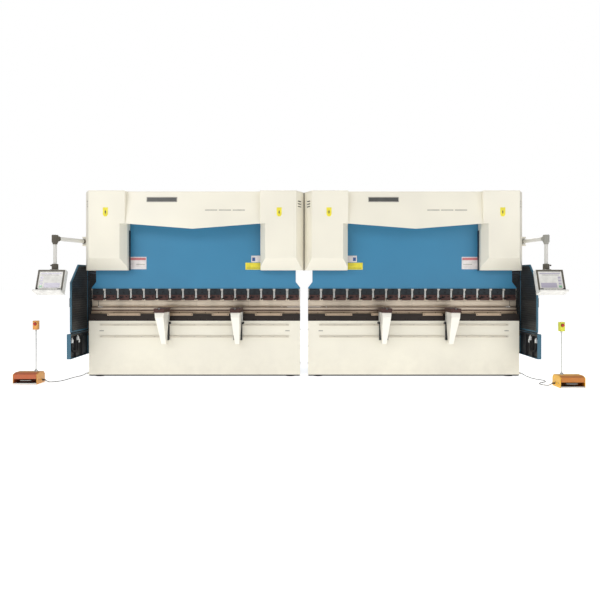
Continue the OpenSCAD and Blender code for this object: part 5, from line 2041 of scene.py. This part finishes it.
@dataclass
class FootSwitch(Assembly):
    """A hooded foot switch with its treadle and its emergency-stop stand.

    Attributes:
        out: How far it stands outward from the hood.
        front: How far it stands ahead of the bending line.
        shell: Finish of its hood.
        mouth: Finish inside its mouth and on its brow: a darker copy of the hood's colour, painted shade.
        stop_case: Finish of the emergency-stop box.
        half: Half its width.
        half_deep: Half its depth.
        high: Its height.
        stand_shift: How far the stand is set off towards the machine.
        stop_top: Height of the top of the emergency-stop box.
    """

    out: float
    front: float
    shell: Finish
    mouth: Finish
    stop_case: Finish
    half: float = 0.17
    half_deep: float = 0.125
    high: float = 0.16
    stand_shift: float = 0.076
    stop_top: float = 0.88

    @property
    def home(self) -> Matrix:
        """Place of the foot switch, made around its own middle."""
        return self.side.outer_end @ Matrix.Translation((HOOD_HALF + self.out, -self.front, 0))

    def add_shell(self) -> None:
        """Build the hood, its lining and brow in painted shade, its floor plate and its screws."""
        tag = self.tag
        carry_over(f"{tag}_foot_switch", self.shell, edge=0.005)
        inner, deep = self.half - 0.01, self.half_deep
        mouth = Shape().box((-inner, deep - 0.064, 0.021), (inner, deep - 0.0605, self.high - 0.011))
        mouth.prism(
            [
                (-deep + 0.004, self.high - 0.0315), (-deep + 0.066, self.high - 0.0115),
                (deep - 0.062, self.high - 0.0115), (deep - 0.062, self.high - 0.0135),
                (-deep + 0.066, self.high - 0.0135), (-deep + 0.004, self.high - 0.0335),
            ],
            Axis.X, -inner, inner,
        )
        for x in (-inner, inner - 0.002):
            mouth.box((x, -deep + 0.004, 0.021), (x + 0.002, deep - 0.062, self.high - 0.034))
        self.put(mouth, "foot_switch_lining", self.mouth)
        # The brow takes the mouth's darker finish: painted shade on the hood's front.
        brow = Shape().prism(
            [
                (-deep - 0.004, self.high - 0.082), (-deep - 0.004, self.high - 0.02),
                (-deep + 0.062, self.high + 0.003), (-deep + 0.062, self.high - 0.003),
                (-deep + 0.002, self.high - 0.024), (-deep + 0.002, self.high - 0.082),
            ],
            Axis.X, -self.half + 0.014, self.half - 0.014, edge=0.0012,
        )
        self.put(brow, "foot_switch_brow", self.mouth)
        plate = Shape().box(
            (-self.half + 0.006, -deep - 0.006, 0.002), (self.half - 0.006, -deep + 0.03, 0.0225), edge=0.002,
        )
        plate.box((-inner + 0.004, -deep + 0.02, 0.0195), (inner - 0.004, deep - 0.066, 0.0222))
        self.put(plate, "foot_switch_plate", BRIGHT)
        screws = Shape()
        for x in (-self.half, self.half):
            for y in (-0.075, 0.02):
                screws.screw((x, y, 0.06), (math.copysign(1, x), 0, 0), 0.007)
        for x in (-0.12, 0.12):
            screws.screw((x, 0.04, self.high), UP, 0.007)
        self.put(screws, "foot_switch_screws", ZINC)

    def add_treadle(self) -> None:
        """Build the ribbed treadle on its axle."""
        tag = self.tag
        body = f"{tag}_treadle"
        place = self.home @ Matrix.Translation((0, self.half_deep - 0.08, 0.045))
        rise = Matrix.Rotation(math.radians(-4), 4, "X")
        reach = -(self.half_deep - 0.08) - self.half_deep + 0.025
        step = Shape().rod((-0.168, 0, 0), (0.168, 0, 0), 0.006, sides=24)
        step.box((-0.075, reach, -0.006), (0.075, 0.012, 0.003), edge=0.002, turn=rise)
        self.put(step, "treadle_step", BRIGHT_Y, body, place, stands_for=[body])
        pad = Shape().box((-0.068, reach + 0.006, 0.002), (0.068, -0.012, 0.0045), edge=0.001, turn=rise)
        for i in range(9):
            y = reach + 0.014 + i * 0.013
            pad.box((-0.064, y, 0.004), (0.064, y + 0.006, 0.0065), edge=0.0008, turn=rise)
        self.put(pad, "treadle_pad", TREADLE_RUBBER, body, place)

    def add_stand(self) -> None:
        """Build the pole, the emergency-stop box and its button."""
        tag = self.tag
        place = self.home @ Matrix.Translation((-self.stand_shift, self.half_deep - 0.075, 0))
        foot, top = self.stop_top - 0.128, self.stop_top
        pole = Shape().rod((0, 0, self.high - 0.001), (0, 0, foot), 0.008, sides=24)
        pole.lathe(
            [(0.008, 0.03), (0.013, 0.026), (0.024, 0.008), (0.026, 0.006), (0.026, 0.0), (0.008, 0.0)],
            (0, 0, self.high), UP,
        )
        pole.rod((0, 0, foot - 0.022), (0, 0, foot), 0.0125, sides=6, edge=0.001)
        self.put(pole, "stop_pole", BRIGHT, place=place, stands_for=[f"{tag}_stop_stand"])
        case = Shape().box((-0.036, -0.028, foot), (0.036, 0.032, top), edge=0.005)
        case.box((-0.034, -0.032, foot + 0.002), (0.034, -0.0275, top - 0.002), edge=0.002)
        self.put(case, "stop_case", self.stop_case, place=place)
        ring = Shape().lathe(
            [(0.0085, 0.0), (0.024, 0.0), (0.024, 0.0012), (0.0225, 0.0022), (0.0085, 0.0022), (0.0085, 0.0)],
            (0, -0.032, top - 0.044), AHEAD,
        )
        for x in (-0.026, 0.026):
            for z in (foot + 0.012, top - 0.01):
                ring.screw((x, -0.032, z), AHEAD, 0.004)
        self.put(ring, "stop_ring", BLACK_PLASTIC, place=place)
        knob = Shape().lathe(
            [
                (0.0, -0.022), (0.008, -0.022), (0.008, 0.009), (0.0185, 0.01), (0.02, 0.013),
                (0.0195, 0.018), (0.015, 0.0215), (0.006, 0.022), (0.0, 0.022),
            ],
            (0, -0.032, top - 0.044), AHEAD,
        )
        self.put(knob, "stop_knob", STOP_RED, f"{tag}_stop_button", place, stands_for=[f"{tag}_stop_button"])

    def build(self) -> None:
        """Build the foot switch."""
        self.add_shell()
        self.add_treadle()
        self.add_stand()


# ------------------------------------------------- frames, oil, gauge, wiring


@dataclass
class SideFrames(Assembly):
    """The two throat plates with their beams, guides and anchors.

    Attributes:
        outer: Distance of a plate's outer face from the machine's middle.
        anchors: Where the anchor bolts stand behind the bending line.
        reach: How far the bolts stand out from the plate.
    """

    outer: float = FRAME_OUT
    anchors: Flat = (0.14, 1.0)
    reach: float = 0.08

    def build(self) -> None:
        """Build the frames."""
        tag = self.tag
        # The plates are in the darkened blue, which paints the throat's shade into them.
        carry_over(f"{tag}_side_frames", FRAME_BLUE_SHADED, edge=0.003)
        anchors, welds, pads, screws = Shape(), Shape(), Shape(), Shape()
        for end in ENDS:
            for y in self.anchors:
                x = end * (self.outer + self.reach)
                anchors.rod((x, y, 0.057), (x, y, 0.112), 0.0115, sides=20, edge=0.001)
                anchors.screw((x, y, 0.057), UP, 0.024, Head.HEX)
                for dy in (-0.06, 0.06):
                    welds.rod(
                        (end * self.outer, y + dy, 0.057), (end * (self.outer + 0.012), y + dy, 0.057), 0.004,
                        sides=10,
                    )
                welds.rod(
                    (end * (self.outer + 0.001), y - 0.058, 0.058),
                    (end * (self.outer + 0.001), y + 0.058, 0.058), 0.006, sides=12,
                )
            welds.rod((end * 1.309, 0.94, 0.16), (end * 1.309, 0.94, 0.44), 0.006, sides=12)
            welds.rod((end * 1.309, 0.2, 2.19), (end * 1.309, 0.2, 2.47), 0.006, sides=12)
            pads.box(*sorted_box(end * 1.124, end * 1.196, 0.0402, 0.052, 1.64, 1.93))
            for z in (1.68, 1.76, 1.84, 1.9):
                screws.screw((end * 1.16, 0.14, z), BEHIND, 0.014, Head.HEX)
                screws.screw((end * 1.29, 0.2, z), BEHIND, 0.014, Head.HEX)
            for y, z in ((0.62, 0.3), (0.62, 0.6), (0.9, 1.65), (0.9, 1.95)):
                screws.rod(
                    (end * (self.outer - 0.001), y, z), (end * (self.outer + 0.004), y, z), 0.02, sides=28,
                    edge=0.002,
                )
        self.put(anchors, "anchor_bolts", ZINC)
        self.put(welds, "frame_welds", FRAME_BLUE_SHADED)
        self.put(pads, "ram_guide_pads", BRASS)
        self.put(screws, "frame_bolts", BLACK_SCREW)


@dataclass
class Hydraulics(Assembly):
    """Cylinders, oil tank, motor with pump, valve block and their pipes.

    Attributes:
        cylinder_x: Distance of the cylinders from the machine's middle.
        axis: Distance behind the bending line and height of the motor's axis.
        tank_top: Height of the tank.
    """

    cylinder_x: float = CYLINDER_X
    axis: Flat = (0.675, 2.61)
    tank_top: float = 2.48

    def add_motor(self) -> None:
        """Dress the motor with fins, a fan cover and a terminal box."""
        y, z = self.axis
        fins, trims = Shape(), Shape()
        for i in range(24):
            fins.rod((-0.37 + i * 0.013, y, z), (-0.366 + i * 0.013, y, z), 0.1185, sides=40)
        fins.box((-0.29, y - 0.15, z - 0.03), (-0.15, y - 0.105, z + 0.06), edge=0.005)
        self.put(fins, "motor_fins", MOTOR_GREY)
        trims.lathe(
            [(0.0, -0.004), (0.09, -0.004), (0.112, 0.004), (0.114, 0.05), (0.11, 0.052)], (-0.402, y, z),
            (1, 0, 0),
        )
        for i in range(4):
            trims.lathe([(0.018 + i * 0.02, -0.0055), (0.026 + i * 0.02, -0.0055)], (-0.402, y, z), (1, 0, 0))
        trims.rod((0.058, y, z), (0.072, y, z), 0.088, sides=40, edge=0.003)
        trims.box((0.15, y - 0.05, z - 0.09), (0.25, y + 0.05, z - 0.05), edge=0.005)
        for i in range(3):
            trims.rod(
                (0.54 + i * 0.1, y, self.tank_top + 0.14), (0.54 + i * 0.1, y, self.tank_top + 0.205), 0.022,
                sides=24, edge=0.004,
            )
            trims.box(
                (0.52 + i * 0.1, y - 0.118, self.tank_top + 0.03),
                (0.56 + i * 0.1, y - 0.16, self.tank_top + 0.07), edge=0.004,
            )
        self.put(trims, "motor_trims", BLACK_PLASTIC)

    def add_tank_fittings(self) -> None:
        """Put the lid, filler, sight glass and drain on the tank."""
        y, top = self.axis[0], self.tank_top
        lid, glass, bolts = Shape(), Shape(), Shape()
        lid.box((-1.15, y - 0.17, top), (-0.56, y + 0.17, top + 0.008), edge=0.002)
        lid.lathe(
            [(0.0, 0.07), (0.036, 0.07), (0.04, 0.064), (0.04, 0.03), (0.03, 0.026), (0.03, 0.0)],
            (-1.23, y, top), UP,
        )
        lid.rod((-1.0, y + 0.275, 2.17), (-1.0, y + 0.3, 2.17), 0.018, sides=6, edge=0.002)
        for x in (-1.1, -0.86, -0.61):
            for dy in (-0.15, 0.15):
                bolts.screw((x, y + dy, top + 0.008), UP, 0.01, Head.HEX)
        glass.box((0.9, y + 0.275, 2.22), (0.94, y + 0.29, 2.4), edge=0.004)
        self.put(lid, "tank_lid", ZINC)
        self.put(glass, "tank_sight_glass", LABEL_YELLOW)
        self.put(bolts, "tank_bolts", BLACK_SCREW)

    def add_cylinders(self) -> None:
        """Put bolts and pipes on the cylinders."""
        bolts, pipes, glands = Shape(), Shape(), Shape()
        y, top = self.axis[0], self.tank_top
        for end in ENDS:
            x = end * self.cylinder_x
            for i in range(12):
                angle = math.radians(30 * i + 15)
                spot = Vector((x + 0.1275 * math.cos(angle), 0.1275 * math.sin(angle), 2.15))
                bolts.rod(spot, spot + Vector((0, 0, 0.012)), 0.0065, sides=6)
            for dx in (-0.045, 0.045):
                for dy in (-0.045, 0.045):
                    bolts.screw((x + dx, dy, 2.57), UP, 0.012)
            glands.lathe(
                [(0.0603, 0.0), (0.098, 0.0), (0.1, 0.004), (0.1, 0.012), (0.0603, 0.012)], (x, 0, 1.948),
                UP,
            )
            start = 0.56 if end > 0 else 0.64
            pipes.pipe(
                [
                    (start, y, top + 0.2), (start, y, top + 0.25), (x, y, top + 0.25), (x, 0.02, top + 0.25),
                    (x, 0.02, 2.565),
                ],
                0.021, bend=0.06,
            )
            pipes.rod((x, 0.02, 2.568), (x, 0.02, 2.59), 0.03, sides=6, edge=0.002)
            pipes.pipe(
                [
                    (start + 0.08, y - 0.11, top + 0.05), (start + 0.08, 0.33, top + 0.05),
                    (x - end * 0.05, 0.33, top + 0.05), (x - end * 0.05, 0.13, top + 0.05),
                    (x - end * 0.05, 0.13, 2.38),
                ],
                0.011, bend=0.05,
            )
        self.put(bolts, "cylinder_bolts", BLACK_SCREW)
        self.put(pipes, "oil_pipes", ZINC)
        self.put(glands, "cylinder_glands", BRASS)

    def build(self) -> None:
        """Build the hydraulics."""
        carry_over(f"{self.tag}_cylinders", CYLINDER_GREY, edge=0.003)
        carry_over(f"{self.tag}_oil_tank", TANK_GREY, edge=0.006)
        self.add_motor()
        self.add_tank_fittings()
        self.add_cylinders()


@dataclass
class BackGauge(Assembly):
    """The back gauge: carriage, lifting beam and two fingers.

    Attributes:
        screw_x: Distance of the lead screws from the machine's middle.
        screw_z: Height of the lead screws.
    """

    screw_x: float = 1.165
    screw_z: float = 0.8

    def build(self) -> None:
        """Build the gauge."""
        tag = self.tag
        carry_over(f"{tag}_gauge_carriage", CARRIAGE_GREY, f"{tag}_gauge_carriage")
        carry_over(f"{tag}_gauge_beam", BRIGHT, f"{tag}_gauge_beam")
        leads, blocks, nuts, straps = Shape(), Shape(), Shape(), Shape()
        for end in ENDS:
            x, z = end * self.screw_x, self.screw_z
            leads.rod((x, 0.18, z), (x, 1.04, z), 0.01, sides=24)
            for i in range(84):
                leads.rod((x, 0.2 + i * 0.01, z), (x, 0.204 + i * 0.01, z), 0.0122, sides=14)
            for y in (0.16, 1.02):
                blocks.box(*sorted_box(end * 1.135, end * 1.2, y, y + 0.04, 0.765, 0.84), edge=0.003)
            nuts.rod((x, 0.4, z), (x, 0.46, z), 0.022, sides=32, edge=0.002)
            nuts.box(*sorted_box(end * 1.15, end * 1.205, 0.405, 0.455, 0.8, 0.86), edge=0.002)
        straps.rod((-self.screw_x, 1.074, self.screw_z), (self.screw_x, 1.074, self.screw_z), 0.012, sides=24)
        for end in ENDS:
            straps.rod(
                (end * self.screw_x - 0.02, 1.074, self.screw_z),
                (end * self.screw_x + 0.02, 1.074, self.screw_z), 0.026, sides=28, edge=0.002,
            )
        straps.box((-0.06, 1.03, 0.74), (0.06, 1.098, 0.86), edge=0.006)
        self.put(leads, "gauge_lead_screws", BRIGHT_Y)
        self.put(blocks, "gauge_bearing_blocks", CARRIAGE_GREY)
        self.put(straps, "gauge_drive_shaft", ZINC)
        self.put(nuts, "gauge_nuts", BRASS, f"{tag}_gauge_carriage")
        for which in ("a", "b"):
            node = f"{tag}_finger_{which}"
            carry_over(node, BRIGHT_Y, node, 0.002)
            low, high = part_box(node)
            middle = (low.x + high.x) / 2
            knob = Shape().rod(
                (middle, 0.3, high.z - 0.03), (middle, 0.3, high.z - 0.002), 0.016, sides=28, edge=0.003,
            )
            knob.rod((middle, 0.3, high.z - 0.002), (middle, 0.3, high.z + 0.004), 0.008, sides=20)
            knob.piece(f"{node}_knob", BLACK_PLASTIC, node)
            screws = Shape()
            for dx in (-0.034, 0.034):
                for y in (0.395, 0.465):
                    screws.screw((middle + dx, y, high.z), UP, 0.008)
            screws.piece(f"{node}_screws", BLACK_SCREW, node)


@dataclass
class Cabinet(Assembly):
    """The electrical cabinet on the outer side frame.

    Attributes:
        face: Distance of its door from the machine's middle.
        y: Its front and rear ends.
        z: Its lower and upper ends.
    """

    face: float = 1.63
    y: Flat = (0.56, 1.1)
    z: Flat = (0.317, 1.497)

    @property
    def home(self) -> Matrix:
        """Place of what is given outward from the machine's middle."""
        return self.side.outer_end

    def build(self) -> None:
        """Build the cabinet's door and fittings."""
        x = self.face
        (front, rear), (low, high) = self.y, self.z
        door = Shape().box(
            (x - 0.002, front + 0.014, low + 0.014), (x + 0.014, rear - 0.014, high - 0.014), edge=0.004,
        )
        self.put(door, "cabinet_door", CREAM)
        slats, trims = Shape(), Shape()
        for band in (low + 0.08, high - 0.2):
            for i in range(7):
                slats.box(
                    (x + 0.013, front + 0.12, band + i * 0.016),
                    (x + 0.019, rear - 0.12, band + i * 0.016 + 0.008), edge=0.002,
                )
        for z in (low + 0.16, (low + high) / 2, high - 0.16):
            trims.rod(
                (x + 0.01, rear - 0.01, z - 0.035), (x + 0.01, rear - 0.01, z + 0.035), 0.008, sides=18,
                edge=0.002,
            )
        trims.box((x + 0.012, front + 0.036, 0.86), (x + 0.024, front + 0.066, 1.0), edge=0.004)
        trims.box((x + 0.022, front + 0.042, 0.91), (x + 0.032, front + 0.06, 0.99), edge=0.004)
        trims.rod(
            (x + 0.013, (front + rear) / 2, 1.24), (x + 0.022, (front + rear) / 2, 1.24), 0.034, sides=32,
            edge=0.003,
        )
        trims.box(
            (x + 0.02, (front + rear) / 2 - 0.007, 1.212), (x + 0.036, (front + rear) / 2 + 0.007, 1.268),
            edge=0.003,
        )
        self.put(slats, "cabinet_louvres", STRIPE_GREY)
        self.put(trims, "cabinet_trims", BLACK_PLASTIC)
        pipe = Shape().pipe(
            [(1.5, 0.7, high - 0.002), (1.5, 0.7, 1.9), (1.42, 0.7, 2.08), (1.33, 0.7, 2.3)], 0.022,
            bend=0.08,
        )
        for i in range(28):
            pipe.rod(
                (1.5, 0.7, high + 0.03 + i * 0.013), (1.5, 0.7, high + 0.037 + i * 0.013), 0.0255, sides=16,
            )
        pipe.rod((1.5, 0.7, high), (1.5, 0.7, high + 0.022), 0.031, sides=6, edge=0.002)
        self.put(pipe, "cabinet_conduit", RUBBER)


@dataclass
class PressBrake:
    """One machine of the pair, put together from its sub-assemblies.

    Attributes:
        side: Which machine it is.
        parts: Its sub-assemblies, in the order that they are built.
    """

    side: Side
    parts: list[Assembly]

    def build(self) -> None:
        """Build every sub-assembly and report it."""
        for part in self.parts:
            part.build()
            log.info("%s: %s is built", self.side.tag, type(part).__name__)


def machine(side: Side) -> PressBrake:
    """List the sub-assemblies of one machine.

    Args:
        side: Which machine it is.

    Returns:
        The machine, ready to be built.
    """
    left = side is Side.LEFT
    plates = [(-1.326, -0.823), (-0.44, -0.03), (0.26, 0.52), (0.915, 1.326)]
    if not left:
        plates = [(-1.34, -0.93), (-0.64, -0.42), (0.14, 0.44), (0.95, 1.33)]
    switch = FootSwitch(
        side,
        out=0.576 if left else 0.303,
        front=0.744 if left else 1.023,
        shell=PEDAL_AMBER if left else PEDAL_YELLOW,
        mouth=PEDAL_AMBER_SHADE if left else PEDAL_YELLOW_SHADE,
        stop_case=STOP_ORANGE if left else STOP_LIME,
    )
    pendant = Pendant(
        side, yaw=18.0 if left else 8.0, elbow=CASE_TAUPE if left else ELBOW_GREY, collar=CASE_TAUPE,
    )
    arms = [SupportArm(side, which) for which in ("a", "b")]
    return PressBrake(side, [
        SideFrames(side), Bed(side), Table(side, plates=plates), Tooling(side), Ram(side), Hood(side), *arms,
        SideGuard(side), pendant, switch, Hydraulics(side), BackGauge(side), Cabinet(side),
    ])


def build_shared() -> None:
    """Build what the CAD model keeps as one node for both machines."""
    dark_strip = Shape().box((-0.0075, -0.128, COVER_FOOT), (0.0075, -0.096, 2.786), edge=0.002)
    dark_strip.piece("joint_seal", JOINT_SEAL)
    carry_over("top_covers", CREAM, edge=0.003)
    carry_over("levelling_feet", RUBBER, edge=0.004)
    carry_over("support_rails", RAIL_PALE, edge=0.0015)
    carry_over("gauge_runways", GUIDE_STEEL, edge=0.003)
    carry_over("pump_motors", MOTOR_GREY, edge=0.003)
    carry_over("cabinets", CREAM, edge=0.005)


def main() -> None:
    """Load the frame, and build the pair."""
    logging.basicConfig(level=logging.INFO, format="%(message)s")
    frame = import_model()
    Studio().build()
    for side, route in ((Side.LEFT, LEFT_ROUTE), (Side.RIGHT, RIGHT_ROUTE)):
        SwitchCable(side, route).build()
    for side in Side:
        machine(side).build()
    build_shared()


if __name__ == "__main__":
    main()
